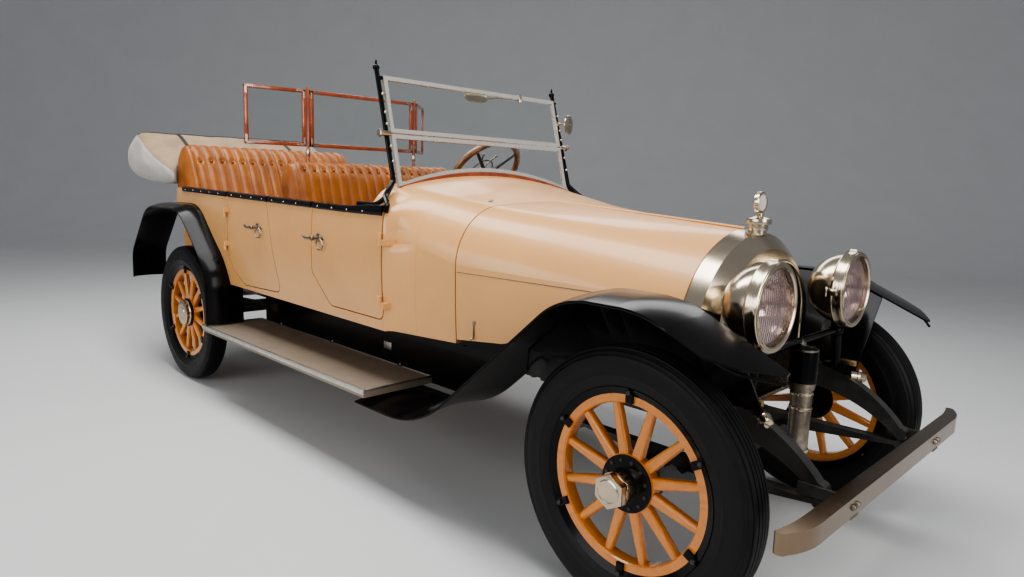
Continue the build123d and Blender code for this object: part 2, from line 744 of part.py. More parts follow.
def valance_solid(thickness):
    """Panel that rises from the rail into the fender's inner edge."""
    rail_y = frame_half_width + rail_width / 2 + seat_gap
    faces = []
    plan = front_plan()
    for x in valance_stations:
        for (x0, y0), (x1, y1) in zip(plan, plan[1:]):
            if x0 <= x <= x1:
                y = y0 + (y1 - y0) * (x - x0) / (x1 - x0) + fender_overlap
        z = front_fender_top(x, y) - valance_drop
        corners = [(x, rail_y, rail_top - 8), (x, y, z), (x, y, z - thickness),
                   (x, rail_y, rail_top - 8 - thickness)]
        faces.append(Face(Wire(Polyline(*corners, close=True).edges())))
    spans = [loft([one, two], ruled=True) for one, two in zip(faces, faces[1:])]
    return fused(spans)


def front_fenders():
    """Crowned fender, its panel up from the rail and the ledge under the hood's edge."""
    strip = fender_strip(front_fender_path, board_inner, fender_edge, sheet, front_crown_rise)
    plan = prism_z(front_plan() + [(front_tip_x + 6, front_tip_y + 12), (3985, 785), (3875, 860),
                                   (1500, 860)], 0, 1500)
    strip = strip & plan
    pan_front = hood_seam + 315
    pan = prism_z([(firewall_x + firewall_thickness + 60, frame_half_width + rail_width / 2 + seat_gap),
                   (pan_front, frame_half_width + rail_width / 2 + seat_gap), (pan_front, 530),
                   (firewall_x + firewall_thickness + 60, 600)], rail_top - 10, rail_top - 5)
    ledge = hood_form(hood_wall + lip_gap) - hood_form(hood_wall + lip_gap + sheet)
    first, mid, turn, last = hood_seam + 40, hood_seam + 230, shell_rear - 265, shell_rear - 45
    ledge = ledge & prism_y([(first, rail_top - 6), (mid + 50, rail_top - 6), (turn, 770), (last, 780),
                             (last, hood_edge_front + 40), (turn, hood_edge_front + 28),
                             (mid, hood_edge_rear + 44), (first, hood_edge_rear + 28)], 300, 700)
    ledge = ledge - valance_solid(400)
    shell_room = loft([across("shell_rear", -seat_gap), across("shell_mid", -seat_gap)])
    fender = fused([strip, valance_solid(valance_thickness), pan, ledge]) - shell_room
    return Compound(children=both_sides(fender))


def rear_fenders():
    strip = fender_strip(rear_fender_path, fender_inner, fender_edge, sheet)
    return Compound(children=both_sides(strip))


def body_tub():
    """Floor, sides, rounded back, wheel houses and seat risers, with the doors cut out."""
    low, high = body_bottom, 1300.0
    outer = tub_solid(0, low, high) & prism_y(body_side_profile(), -1000, 1000)
    inner = tub_solid(body_wall, body_bottom + floor_thickness, high + 10)
    for corner in rear_room():
        inner = inner - corner
    tub = outer - inner - block(door_jamb_x, door_jamb_x + 400, -1000, 1000, 0, 2000)
    tub = tub - block(door_jamb_x - 60, door_jamb_x + 10, -693, 693, body_bottom + floor_thickness, 2000)
    front_riser = block(1300, 1760, -riser_half_width, riser_half_width,
                        body_bottom + floor_thickness - 1, cushion_bottom - seat_gap)
    rear_riser = block(-60, 500, -riser_half_width, riser_half_width,
                       body_bottom + floor_thickness - 1, cushion_bottom - seat_gap)
    tub = tub.fuse(front_riser, rear_riser)
    for side in (1, -1):
        tub = tub - door_prism(rear_door_outline, 0, side) - door_prism(front_door_outline, 0, side)
        tub = tub - wheelhouse_cut(side)
        clearance = fender_strip(rear_fender_path, fender_inner - seat_gap, fender_edge + 20,
                                 sheet + 2, fender_crown_rise + 4, 60)
        tub = tub - (clearance if side > 0 else mirror(clearance, about=Plane.XZ))
        for z in rear_hinge_heights:
            tub = tub.fuse(hinge(rear_hinge_x, z, side, 1)[1])
    return tub


def door(outline, hinge_x, heights, side, toward):
    shell = tub_solid(0, body_bottom, 1300) - tub_solid(body_wall, body_bottom - 10, 1310)
    shell = shell & prism_y(body_side_profile() if toward > 0 else
                            [(0, body_bottom), (door_jamb_x, body_bottom),
                             (door_jamb_x, belt_front), (1900, belt_front), (0, belt_rear)], -1000, 1000)
    panel = shell & door_prism(outline, panel_gap, side)
    for z in heights:
        panel = panel.fuse(hinge(hinge_x, z, side, toward)[0])
    return panel


# %% Cowl, hood and radiator: sections across the car
# station x; bottom half-width, z; bulge half-width, z; waist half-width, z;
# shoulder half-width, z; crown edge half-width, z; crown z
section_table = {
    "cowl_rear": (cowl_rear, 722, 700, 742, 960, 724, 1190, 690, 1272, 560, 1362, 1420),
    "seam": (hood_seam, 620, 690, 632, 890, 636, 1040, 578, 1190, 400, 1284, 1301),
    "shell_rear": (shell_rear, 404, 570, 424, 800, 402, 990, 342, 1086, 205, 1190, 1240),
    "shell_mid": (3630, 400, 572, 420, 800, 396, 984, 336, 1078, 200, 1180, 1228),
    "shell_front": (shell_front, 352, 600, 366, 800, 346, 960, 292, 1040, 172, 1132, 1172),
}


def across(name, inset=0.0, x=None):
    """Face across the car from one row of the table, inset inward."""
    (station, bottom_y, bottom_z, bulge_y, bulge_z, waist_y, waist_z,
     shoulder_y, shoulder_z, edge_y, edge_z, crown_z) = section_table[name]
    x = station if x is None else x
    p_bottom = (x, bottom_y - inset, bottom_z)
    p_bulge = (x, bulge_y - inset, bulge_z)
    p_waist = (x, waist_y - inset, waist_z)
    p_shoulder = (x, shoulder_y - inset * 0.8, shoulder_z - inset * 0.6)
    p_edge = (x, edge_y - inset * 0.3, edge_z - inset * 0.95)
    p_crown = (x, 0, crown_z - inset)

    def flip(p):
        return (p[0], -p[1], p[2])

    edges = [ThreePointArc(p_bottom, p_bulge, p_waist), ThreePointArc(p_waist, p_shoulder, p_edge),
             ThreePointArc(p_edge, p_crown, flip(p_edge)),
             ThreePointArc(flip(p_edge), flip(p_shoulder), flip(p_waist)),
             ThreePointArc(flip(p_waist), flip(p_bulge), flip(p_bottom)),
             Line(flip(p_bottom), p_bottom)]
    return Face(Wire(edges))


def cowl():
    """Scuttle between the doors and the hood, with firewall and a lip under the hood."""
    outer = loft([across("cowl_rear"), across("seam")])
    inner = loft([across("cowl_rear", cowl_wall), across("seam", cowl_wall)])
    shell = outer - inner
    lip = hood_lip(hood_seam - 8, hood_seam + lip_reach)
    backing = loft([across("cowl_rear", cowl_wall - 2), across("seam", cowl_wall - 2)]) - loft(
        [across("cowl_rear", cowl_wall + 8), across("seam", cowl_wall + 8)])
    backing = backing & block(hood_seam - 14, hood_seam, -1000, 1000, 0, 2000)
    firewall = loft([across("cowl_rear"), across("seam")]) & block(
        firewall_x, firewall_x + firewall_thickness, -1000, 1000, 0, 2000)
    floor = block(door_jamb_x, firewall_x + 2, -620, 620, body_bottom, body_bottom + floor_thickness)
    shape = fused([shell, firewall, backing, lip, floor])
    shape = shape - block(1900, door_jamb_x, -1000, 1000, 0, belt_front + 6)
    shape = shape - block(1900, hood_seam + 80, -1000, 1000, 0, body_bottom)
    shape = shape - steering_column(column_radius + seat_gap) - windshield_room()
    for side in (1, -1):
        post = windshield_post(side, post_radius + 0.1)
        shape = shape - post
        for z in hinge_heights:
            shape = shape.fuse(hinge(front_hinge_x, z, side, -1)[1])
    return shape


def hood_form(inset):
    """The hood's tapering form, inset from its skin, from seam to radiator."""
    return loft([across("seam", inset), across("shell_rear", shell_stand_out + inset)], ruled=True)


def hood_lip(x0, x1):
    """Ledge of the hood's own taper that the hood rests on."""
    ring = hood_form(hood_wall + lip_gap) - hood_form(hood_wall + lip_gap + lip_thickness)
    return ring & block(x0, x1, -1000, 1000, hood_edge_rear + 30, 2000)


def hood_half(side):
    """One half of the hood: top and side in one sheet from the centre hinge down."""
    rear_x = hood_seam + panel_gap
    front_x = shell_rear - panel_gap
    shell = hood_form(0) - hood_form(hood_wall)
    y0, y1 = (panel_gap / 2, 1000) if side > 0 else (-1000, -panel_gap / 2)
    bottom = prism_y([(rear_x, hood_edge_rear), (hood_seam + 230, hood_edge_rear + 16),
                      (shell_rear - 265, hood_edge_front),
                      (front_x, hood_edge_front + 12), (front_x, 1500), (rear_x, 1500)], y0, y1)
    return shell & bottom


def radiator_shell():
    """Plated shell with a lobed opening for the core."""
    outer = loft([across("shell_rear"), across("shell_mid")]).fuse(
        loft([across("shell_mid"), across("shell_front")]))
    opening = [
        Line((3400, -262, 600), (3400, 262, 600)), Line((3400, 262, 600), (3400, 300, 640)),
        Line((3400, 300, 640), (3400, 300, 900)),
        ThreePointArc((3400, 300, 900), (3400, 262, 1035), (3400, 205, 1085)),
        ThreePointArc((3400, 205, 1085), (3400, 105, 1120), (3400, 0, 1098)),
        ThreePointArc((3400, 0, 1098), (3400, -105, 1120), (3400, -205, 1085)),
        ThreePointArc((3400, -205, 1085), (3400, -262, 1035), (3400, -300, 900)),
        Line((3400, -300, 900), (3400, -300, 640)), Line((3400, -300, 640), (3400, -262, 600)),
    ]
    cut = extrude(Face(Wire(opening)), amount=500, dir=(1, 0, 0))
    lip = hood_lip(shell_rear - lip_reach, shell_rear) & block(3000, 4000, -1000, 1000, 900, 2000)
    rail_room = [block(3400, 3800, side * (frame_half_width - rail_width / 2 - seat_gap),
                       side * (frame_half_width + rail_width), 500, rail_top + 12) for side in (1, -1)]
    return outer.fuse(lip) - cut - rail_room


def radiator_core():
    x0, x1 = shell_rear - 20, shell_front - 34
    outline = [
        Line((x0, -262, 600), (x0, 262, 600)), Line((x0, 262, 600), (x0, 300, 640)),
        Line((x0, 300, 640), (x0, 300, 900)),
        ThreePointArc((x0, 300, 900), (x0, 262, 1035), (x0, 205, 1085)),
        ThreePointArc((x0, 205, 1085), (x0, 105, 1120), (x0, 0, 1098)),
        ThreePointArc((x0, 0, 1098), (x0, -105, 1120), (x0, -205, 1085)),
        ThreePointArc((x0, -205, 1085), (x0, -262, 1035), (x0, -300, 900)),
        Line((x0, -300, 900), (x0, -300, 640)), Line((x0, -300, 640), (x0, -262, 600)),
    ]
    core = extrude(Face(Wire(outline)), amount=x1 - x0, dir=(1, 0, 0))
    return core


def radiator_cap():
    """Filler neck, flanged cap and the round temperature gauge on top."""
    base_z = 1226.0
    neck = Pos(3617, 0, base_z + 18) * Cylinder(30, 44)
    flange = Pos(3617, 0, base_z + 46) * Cylinder(40, 14)
    stem = Pos(3617, 0, base_z + 64) * Cylinder(10, 26)
    ring = Pos(3617, 0, base_z + 114) * Rot(0, 90, 0) * Cylinder(38, 14)
    return fused([neck, flange, stem, ring]) - radiator_shell()


# %% Steering column and wheel
def column_direction():
    tilt = radians(column_tilt)
    return Vector(cos(tilt), 0, -sin(tilt))


def steering_column(radius=column_radius):
    top = Vector(*steering_centre) + column_direction() * 34
    foot_length = (steering_centre[2] - 640) / sin(radians(column_tilt))
    foot = Vector(*steering_centre) + column_direction() * foot_length
    return rod(tuple(top), tuple(foot), radius)


def steering_column_piece():
    """Column jacket down to the gear box on the left rail."""
    foot_length = (steering_centre[2] - 640) / sin(radians(column_tilt))
    foot = Vector(*steering_centre) + column_direction() * foot_length
    reach = frame_half_width - rail_width / 2
    box = rod((foot.X, 290, foot.Z), (foot.X, reach, foot.Z), 52)
    return fused([steering_column(), box])


def steering_wheel():
    """Rim, four spokes and boss, square to the column."""
    origin = Vector(*steering_centre)
    plane = Plane(origin=origin, x_dir=(0, 1, 0), z_dir=column_direction() * -1)
    major = steering_radius - steering_rim_radius
    rim = plane * Torus(major, steering_rim_radius)
    hub = plane * (Pos(0, 0, -12) * Cylinder(34, 42))
    spokes = [plane * (Rot(0, 0, 45 + 90 * i) * (Pos(major / 2, 0, 0) * Box(major, 16, 9)))
              for i in range(4)]
    return fused([hub, rim, *spokes])


def dashboard():
    """Board across the cowl, fitted under its skin and round the column."""
    inset = cowl_wall + seat_gap
    board = loft([across("cowl_rear", inset), across("seam", inset)])
    board = board & block(dash_x, dash_x + dash_thickness, -1000, 1000, dash_bottom, 2000)
    return board - steering_column(column_radius + seat_gap)


def driver_controls():
    """Gear and brake levers on the floor, and three pedals under the board."""
    floor_top = body_bottom + floor_thickness + seat_gap
    pieces = []
    for x, y, top_x, top_z in lever_table:
        stem = rod((x, y, floor_top + 4), (top_x, y, top_z), lever_radius)
        boot = Pos(x, y, floor_top + 5) * Cylinder(lever_radius * 3, 10)
        pieces.append(fused([stem, boot, Pos(top_x, y, top_z) * Sphere(lever_knob_radius)]))
    for y, width in pedal_table:
        arm = rod((pedal_x, y, floor_top + 4), (pedal_x - 60, y, floor_top + 130), 7)
        base = block(pedal_x - 20, pedal_x + 20, y - 12, y + 12, floor_top, floor_top + 8)
        pad = Pos(pedal_x - 62, y, floor_top + 136) * Rot(0, -25, 0) * Box(8, width, 80)
        pieces.append(fused([arm, base, pad]))
    return Compound(children=pieces)


# %% Windshield and rear screen
def windshield_post(side, radius=post_radius):
    """Slim post that sweeps down into the belt line ahead of the door."""
    x, y, z = post_tip
    points = [(1990, 694, 1264), (2175, 690, 1264), (2150, 610, 1370), (x, y, z)]
    post = tube_path([(px, side * py, pz) for px, py, pz in points], [60, 60], radius)
    return post


def windshield_posts():
    solids = []
    for side in (1, -1):
        x, y, z = post_tip
        knob = Pos(x, side * y, z - 4) * Sphere(16)
        collar = Pos(x - 1, side * y, z + 14) * Cone(9, 3, 30)
        pivot = rod((screen_pivot[0], side * (screen_half + seat_gap), screen_pivot[2]),
                    (screen_pivot[0], side * (y + 26), screen_pivot[2]), 9)
        solids.append(fused([windshield_post(side), knob, collar, pivot]))
    return Compound(children=solids)


def screen_plane():
    up = Vector(screen_top[0] - screen_pivot[0], 0, screen_top[2] - screen_pivot[2]).normalized()
    forward = Vector(up.Z, 0, -up.X)
    return Plane(origin=(screen_pivot[0], 0, screen_pivot[2]), x_dir=(0, 1, 0), z_dir=forward * -1)


screen_half = screen_pivot[1] - 2
upper_height = hypot(screen_top[0] - screen_pivot[0], screen_top[2] - screen_pivot[2])
lower_end = -250.0
lower_crown = -163.0


def screen_outline(half, top, bottom_end, bottom_crown):
    if abs(bottom_end - bottom_crown) < 1:
        low = Line((-half, bottom_end), (half, bottom_end))
    else:
        low = ThreePointArc((-half, bottom_end), (0, bottom_crown), (half, bottom_end))
    edges = [low, Line((half, bottom_end), (half, top)), Line((half, top), (-half, top)),
             Line((-half, top), (-half, bottom_end))]
    return Face(Wire(edges))


def screen_y_sign():
    return 1 if screen_plane().y_dir.Z > 0 else -1


def windshield_frame():
    plane = screen_plane()
    sign = screen_y_sign()
    bar = screen_bar
    frames = []
    for top, end, crown in ((upper_height, 3, 3), (-3, lower_end, lower_crown)):
        outer = screen_outline(screen_half, sign * top, sign * end, sign * crown)
        hole = screen_outline(screen_half - bar, sign * (top - bar), sign * (end + bar),
                              sign * (crown + bar))
        frames.append(extrude(plane * (outer - hole), amount=screen_thickness / 2, both=True))
    return Compound(children=frames)


def windshield_room():
    """Slot in the cowl for the windshield's lower frame."""
    sign = screen_y_sign()
    face = screen_outline(screen_half + panel_play, 0, sign * (lower_end - panel_play),
                          sign * (lower_crown - panel_play))
    return extrude(screen_plane() * face, amount=screen_thickness / 2 + panel_play, both=True)


def window_glass():
    plane = screen_plane()
    sign = screen_y_sign()
    bar = screen_bar
    panes = []
    for top, end, crown in ((upper_height, 3, 3), (-3, lower_end, lower_crown)):
        pane = screen_outline(screen_half - bar, sign * (top - bar), sign * (end + bar),
                              sign * (crown + bar))
        panes.append(extrude(plane * pane, amount=glass_thickness / 2, both=True))
    for place in tonneau_places():
        half, height = place[1] / 2 - tonneau_bar, (tonneau_top - tonneau_bottom) / 2 - tonneau_bar
        panes.append(place[0] * Box(glass_thickness, 2 * half, 2 * height))
    return Compound(children=panes)


def tonneau_places():
    """Location and width of the three panels behind the front seat."""
    middle_z = (tonneau_top + tonneau_bottom) / 2
    places = [(Pos(tonneau_x, 0, middle_z), 2 * (tonneau_half_width - 14))]
    for side in (1, -1):
        hinge_at = Pos(tonneau_x, side * (tonneau_half_width + 14), middle_z)
        turn = Rot(0, 0, side * wing_angle)
        places.append((hinge_at * turn * Pos(0, side * wing_width / 2, 0), wing_width))
    return places


def tonneau_frame():
    """Three framed panels: the middle one between two posts, and a wing on each post."""
    height = tonneau_top - tonneau_bottom
    solids = []
    for place, width in tonneau_places():
        frame = Box(18, width, height) - Box(40, width - 2 * tonneau_bar, height - 2 * tonneau_bar)
        solids.append(place * frame)
    posts = []
    for side in (1, -1):
        y = side * tonneau_half_width
        posts.append(rod((tonneau_x, y, body_bottom + floor_thickness), (tonneau_x, y, tonneau_top + 14), 9))
        for z in (tonneau_bottom + 40, tonneau_top - 40):
            posts.append(block(tonneau_x - 4, tonneau_x + 4, y - side * 16, y + side * 16, z - 12, z + 12))
    return fused([*solids, *posts])


# %% Seats and folded top
def front_seat():
    cushion = prism_y([(1262, cushion_bottom), (1790, cushion_bottom), (1800, cushion_top - 10),
                       (1300, cushion_top)], -front_seat_half_width, front_seat_half_width)
    back = prism_y([(1140, cushion_bottom), (1300, cushion_bottom), (1290, 1030),
                    (1150, front_seat_top - 20), (1090, front_seat_top), (1010, front_seat_top - 16),
                    (1000, 1380)], -front_seat_half_width, front_seat_half_width)
    floor_gap = block(900, 1260, -700, 700, 700, cushion_bottom)
    return fused([cushion, back]) - floor_gap


def rear_seat():
    cushion = prism_y([(-40, cushion_bottom), (500, cushion_bottom), (510, cushion_top - 8),
                       (0, cushion_top - 20)], -riser_half_width + 4, riser_half_width - 4)
    back = prism_y([(-500, cushion_bottom), (20, cushion_bottom), (10, 1000), (-210, 1540),
                    (-260, rear_seat_top), (-340, rear_seat_top), (-500, 1500)], -900, 900)
    low_plan = tub_solid(body_wall + 6, cushion_bottom, 1300)
    for corner in rear_room():
        low_plan = low_plan - corner
    low = back & low_plan & block(-2000, 2000, -wheelhouse_half_width + seat_gap,
                                  wheelhouse_half_width - seat_gap, 0, wheelhouse_top + 1)
    mid = back & low_plan & block(-2000, 2000, -900, 900, wheelhouse_top + seat_gap, 1290)
    high_outline = tub_outline(seat_roll_bottom, seat_proud)
    high = back & extrude(high_outline, amount=rear_seat_top - seat_roll_bottom, dir=(0, 0, 1))
    return fused([cushion, low, mid, high])


def folded_top():
    """The top folded behind the rear seat inside its canvas cover."""
    side_view = [(-160, 1302), (-250, 1406), (-730, 1556), (-945, 1678), (-1060, 1650),
                 (boot_rear + 4, 1530), (-1232, 1400), (-1090, 1330), (-710, 1292), (-360, 1284)]
    solid = prism_y(side_view, -boot_half_width, boot_half_width)
    room = extrude(tub_outline(1000, seat_proud + seat_gap), amount=1000, dir=(0, 0, 1))
    return solid - room


# %% Boards, aprons, lamps, horn, bumper
def running_boards():
    board = block(board_rear, board_front, board_inner, fender_edge + 3,
                  board_top - board_thickness, board_top)
    return Compound(children=both_sides(board))


def splash_aprons():
    """Pressed panels between the body sill and the running boards."""
    panel = prism_y([(560, board_top - board_thickness), (2600, board_top - board_thickness),
                     (2780, 560), (2860, rail_top - 12), (2630, rail_top - 12), (2630, rail_top - 6),
                     (560, rail_top - 6)], apron_y, apron_y + 5)
    ledge = block(560, 2630, frame_half_width + rail_width / 2 + seat_gap, apron_y + 5,
                  rail_top - 6, rail_top)
    return Compound(children=both_sides(fused([panel, ledge])))


def lamp_form(grow=0.0):
    """Outer form of one headlamp, bullet-shaped with a wide rim, grown by grow."""
    r = lamp_radius + grow
    back = lamp_x - lamp_depth - grow
    profile = [
        Line((back, lamp_y, lamp_z), (back, lamp_y, lamp_z + 30)),
        ThreePointArc((back, lamp_y, lamp_z + 30), (back + 40, lamp_y, lamp_z + r - 48),
                      (lamp_x - 52, lamp_y, lamp_z + r - 12)),
        Line((lamp_x - 52, lamp_y, lamp_z + r - 12), (lamp_x - 30, lamp_y, lamp_z + r)),
        Line((lamp_x - 30, lamp_y, lamp_z + r), (lamp_x, lamp_y, lamp_z + r - 2)),
        Line((lamp_x, lamp_y, lamp_z + r - 2), (lamp_x, lamp_y, lamp_z)),
        Line((lamp_x, lamp_y, lamp_z), (back, lamp_y, lamp_z)),
    ]
    return revolve(Face(Wire(profile)), axis=Axis((lamp_x, lamp_y, lamp_z), (1, 0, 0)))


def headlamp_shells():
    """Shells hollowed from the front, with the lens's seat behind the rim."""
    r = lamp_radius
    back = lamp_x - lamp_depth + 2 * lamp_wall
    hollow = [
        Line((lamp_x + 5, lamp_y, lamp_z), (lamp_x + 5, lamp_y, lamp_z + r - 18)),
        Line((lamp_x + 5, lamp_y, lamp_z + r - 18), (lamp_x - 44, lamp_y, lamp_z + r - 24)),
        ThreePointArc((lamp_x - 44, lamp_y, lamp_z + r - 24), (back + 41, lamp_y, lamp_z + 84),
                      (back, lamp_y, lamp_z + 6)),
        Line((back, lamp_y, lamp_z + 6), (back, lamp_y, lamp_z)),
        Line((back, lamp_y, lamp_z), (lamp_x + 5, lamp_y, lamp_z)),
    ]
    room = revolve(Face(Wire(hollow)), axis=Axis((lamp_x, lamp_y, lamp_z), (1, 0, 0)))
    return Compound(children=both_sides(lamp_form() - room))


def headlamp_lenses():
    r = lamp_radius - 21
    lens = rod((lamp_x - 16, lamp_y, lamp_z), (lamp_x - 6, lamp_y, lamp_z), r)
    return Compound(children=both_sides(lens))


def lamp_bracket():
    """Forked lamp posts on the frame horns, joined by the tie bar that carries the horn."""
    post_x = lamp_x - 62
    fork_z = lamp_z - lamp_radius + 40
    tie_z = 846.0
    solids = []
    for side in (1, -1):
        y = side * lamp_y
        solids.append(rod((post_x, y, fork_z), (post_x, y, tie_z), 22))
        solids.append(rod((post_x, y, tie_z + 10), (post_x, side * frame_half_width, rail_top - 30), 20))
        solids.append(Pos(post_x, y, tie_z) * Sphere(28))
        solids.append(block(post_x - 45, post_x + 45, side * (frame_half_width - rail_width / 2),
                            side * (frame_half_width + rail_width / 2), 660, 706))
    tie = rod((post_x, -lamp_y, tie_z), (post_x, lamp_y, tie_z), 14)
    shape = fused([*solids, tie])
    shape = shape - both_sides(lamp_form(seat_gap)) - frame_rails()
    return shape


def horn():
    """Upright horn in front of the core, clamped to the lamp tie bar."""
    clamp = Pos(horn_x, 0, horn_top) * Cylinder(horn_radius + 6, 26)
    tube = Pos(horn_x, 0, (horn_bottom + horn_top) / 2) * Cylinder(horn_radius, horn_top - horn_bottom)
    motor = Pos(horn_x, 0, horn_top + 68) * Cylinder(46, 136)
    neck = rod((horn_x, 0, 820), (lamp_x - 62, 0, 846), 16)
    return fused([clamp, tube, motor, neck]) - rod((lamp_x - 62, -300, 846), (lamp_x - 62, 300, 846), 14.3)


def front_bumper():
    """Plated bar with ends curved back."""
    x0, x1 = bumper_rear_x, bumper_rear_x + bumper_depth
    end = bumper_half_width
    z = bumper_bottom
    edges = [
        Line((x0, -end + 150, z), (x0, end - 150, z)),
        ThreePointArc((x0, end - 150, z), (x0 - 4, end - 70, z), (x0 - 16, end, z)),
        ThreePointArc((x0 - 16, end, z), (x0 + 4, end + 6, z), (x0 + 16, end - 8, z)),
        ThreePointArc((x0 + 16, end - 8, z), (x1 - 10, end - 70, z), (x1, end - 160, z)),
        Line((x1, end - 160, z), (x1, -end + 160, z)),
        ThreePointArc((x1, -end + 160, z), (x1 - 10, -end + 70, z), (x0 + 16, -end + 8, z)),
        ThreePointArc((x0 + 16, -end + 8, z), (x0 + 4, -end - 6, z), (x0 - 16, -end, z)),
        ThreePointArc((x0 - 16, -end, z), (x0 - 4, -end + 70, z), (x0, -end + 150, z)),
    ]
    return extrude(Face(Wire(edges)), amount=bumper_top - bumper_bottom, dir=(0, 0, 1))


# %% Assembly
parts = {
    "frame_rails": frame_rails,
    "frame_crossmembers": frame_crossmembers,
    "leaf_springs": springs,
    "front_axle": front_axle,
    "knuckle_left": lambda: knuckle(1),
    "knuckle_right": lambda: knuckle(-1),
    "tie_rod": tie_rod,
    "rear_axle": rear_axle,
    "engine_block": engine_block,
    "exhaust": exhaust,
    "fuel_tank": fuel_tank,
    "body_tub": body_tub,
    "door_front_left": lambda: door(front_door_outline, front_hinge_x, hinge_heights, 1, -1),
    "door_front_right": lambda: door(front_door_outline, front_hinge_x, hinge_heights, -1, -1),
    "door_rear_left": lambda: door(rear_door_outline, rear_hinge_x, rear_hinge_heights, 1, 1),
    "door_rear_right": lambda: door(rear_door_outline, rear_hinge_x, rear_hinge_heights, -1, 1),
    "cowl": cowl,
    "hood_left": lambda: hood_half(1),
    "hood_right": lambda: hood_half(-1),
    "radiator_shell": radiator_shell,
    "radiator_core": radiator_core,
    "radiator_cap": radiator_cap,
    "steering_column": steering_column_piece,
    "steering_wheel": steering_wheel,
    "dashboard": dashboard,
    "driver_controls": driver_controls,
    "windshield_posts": windshield_posts,
    "windshield_frame": windshield_frame,
    "window_glass": window_glass,
    "tonneau_frame": tonneau_frame,
    "front_seat": front_seat,
    "rear_seat": rear_seat,
    "folded_top": folded_top,
    "front_fenders": front_fenders,
    "rear_fenders": rear_fenders,
    "running_boards": running_boards,
    "splash_aprons": splash_aprons,
    "headlamp_shells": headlamp_shells,
    "headlamp_lenses": headlamp_lenses,
    "lamp_bracket": lamp_bracket,
    "horn": horn,
    "front_bumper": front_bumper,
}

for end_name, wheel_x in (("front", wheelbase), ("rear", 0.0)):
    for side_name, side in (("left", 1), ("right", -1)):
        place = (wheel_x, side * track / 2, side)
        front = end_name == "front"
        parts[f"tyre_{end_name}_{side_name}"] = lambda p=place: tyre(*p)
        parts[f"wood_wheel_{end_name}_{side_name}"] = lambda p=place: wood_wheel(*p)
        parts[f"hub_{end_name}_{side_name}"] = lambda p=place, f=front: hub_and_rim(*p, f)

os.makedirs("parts", exist_ok=True)
for name, make in parts.items():
    shape = Pos(-centre_x, 0, 0) * make()
    export_step(shape, f"parts/{name}.step")
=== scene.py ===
# %% [markdown]
# # An open touring car of the nineteen-tens
# The CAD model gives each body, hinge and wheel its real size and place. This lesson gives
# them the finish of a well kept old car, and adds what is soft, thin or small: tufted
# leather, the canvas cover, mouldings, handles, bolts and glass. The imported model is loaded
# first, because every piece below is placed on it.

from math import cos, pi, radians, sin

import bpy
import numpy as np
from mathutils import Matrix, Vector


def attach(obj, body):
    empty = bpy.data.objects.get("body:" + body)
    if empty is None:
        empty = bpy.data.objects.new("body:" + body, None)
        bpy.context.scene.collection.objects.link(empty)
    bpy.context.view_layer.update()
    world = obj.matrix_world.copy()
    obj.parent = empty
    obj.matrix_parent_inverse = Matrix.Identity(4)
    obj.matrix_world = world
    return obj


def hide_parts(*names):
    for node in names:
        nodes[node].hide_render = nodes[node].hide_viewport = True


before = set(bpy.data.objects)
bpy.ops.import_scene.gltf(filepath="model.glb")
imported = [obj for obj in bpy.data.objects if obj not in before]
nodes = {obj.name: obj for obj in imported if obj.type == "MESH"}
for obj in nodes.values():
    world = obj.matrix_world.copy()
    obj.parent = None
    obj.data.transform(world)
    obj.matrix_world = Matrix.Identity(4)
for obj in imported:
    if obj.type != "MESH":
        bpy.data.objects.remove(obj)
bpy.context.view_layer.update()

# %% [markdown]
# A car's lengths are easiest to read from the rear axle, while the model's origin lies under
# its middle. One small function turns the first into the second, so each number below can
# be compared with a drawing of the chassis.

# %% Measures from the rear axle
rear_axle_x = -1.463
wheelbase = 3.607
track = 1.422
tyre_radius = 0.447
both_sides = ((-1, "right"), (1, "left"))


def car(x, y, z):
    """A point x metres ahead of the rear axle, in the model's frame."""
    return Vector((x + rear_axle_x, y, z))


print("rear axle at", rear_axle_x, "front axle at", round(rear_axle_x + wheelbase, 3))

# %% [markdown]
# Blender's operators act on whatever is selected. These helpers deselect everything, pick
# one piece, and close each piece off the same way: modifiers applied, place in its mesh,
# smooth shading by angle, a finish, and the body that it moves with.

# %% Picking and settling pieces


def deselect():
    """Leaves edit mode, with nothing selected."""
    if bpy.context.object and bpy.context.object.mode != "OBJECT":
        bpy.ops.object.mode_set(mode="OBJECT")
    bpy.ops.object.select_all(action="DESELECT")


def only(piece):
    """Makes a piece the only one selected, and the active one."""
    deselect()
    piece.select_set(True)
    bpy.context.view_layer.objects.active = piece
    return piece


def select_faces(piece, test):
    """Leaves the piece in edit mode with only the faces selected that pass the test."""
    only(piece)
    bpy.ops.object.mode_set(mode="EDIT")
    bpy.ops.mesh.select_mode(type="FACE")
    bpy.ops.mesh.select_all(action="DESELECT")
    bpy.ops.object.mode_set(mode="OBJECT")
    for face in piece.data.polygons:
        face.select = bool(test(face))
    bpy.ops.object.mode_set(mode="EDIT")


def edit_all(piece):
    """Opens a piece in edit mode with everything selected."""
    only(piece)
    bpy.ops.object.mode_set(mode="EDIT")
    bpy.ops.mesh.select_all(action="SELECT")


def apply_all(piece):
    """Puts a piece's modifiers and its own place and turn into its mesh."""
    only(piece)
    for modifier in list(piece.modifiers):
        bpy.ops.object.modifier_apply(modifier=modifier.name)
    bpy.ops.object.transform_apply(location=True, rotation=True, scale=True)
    return piece


def join(pieces):
    """One piece out of several, such as a row of bolts."""
    for piece in pieces:
        apply_all(piece)
    deselect()
    for piece in pieces:
        piece.select_set(True)
    bpy.context.view_layer.objects.active = pieces[0]
    if len(pieces) > 1:
        bpy.ops.object.join()
    return bpy.context.object


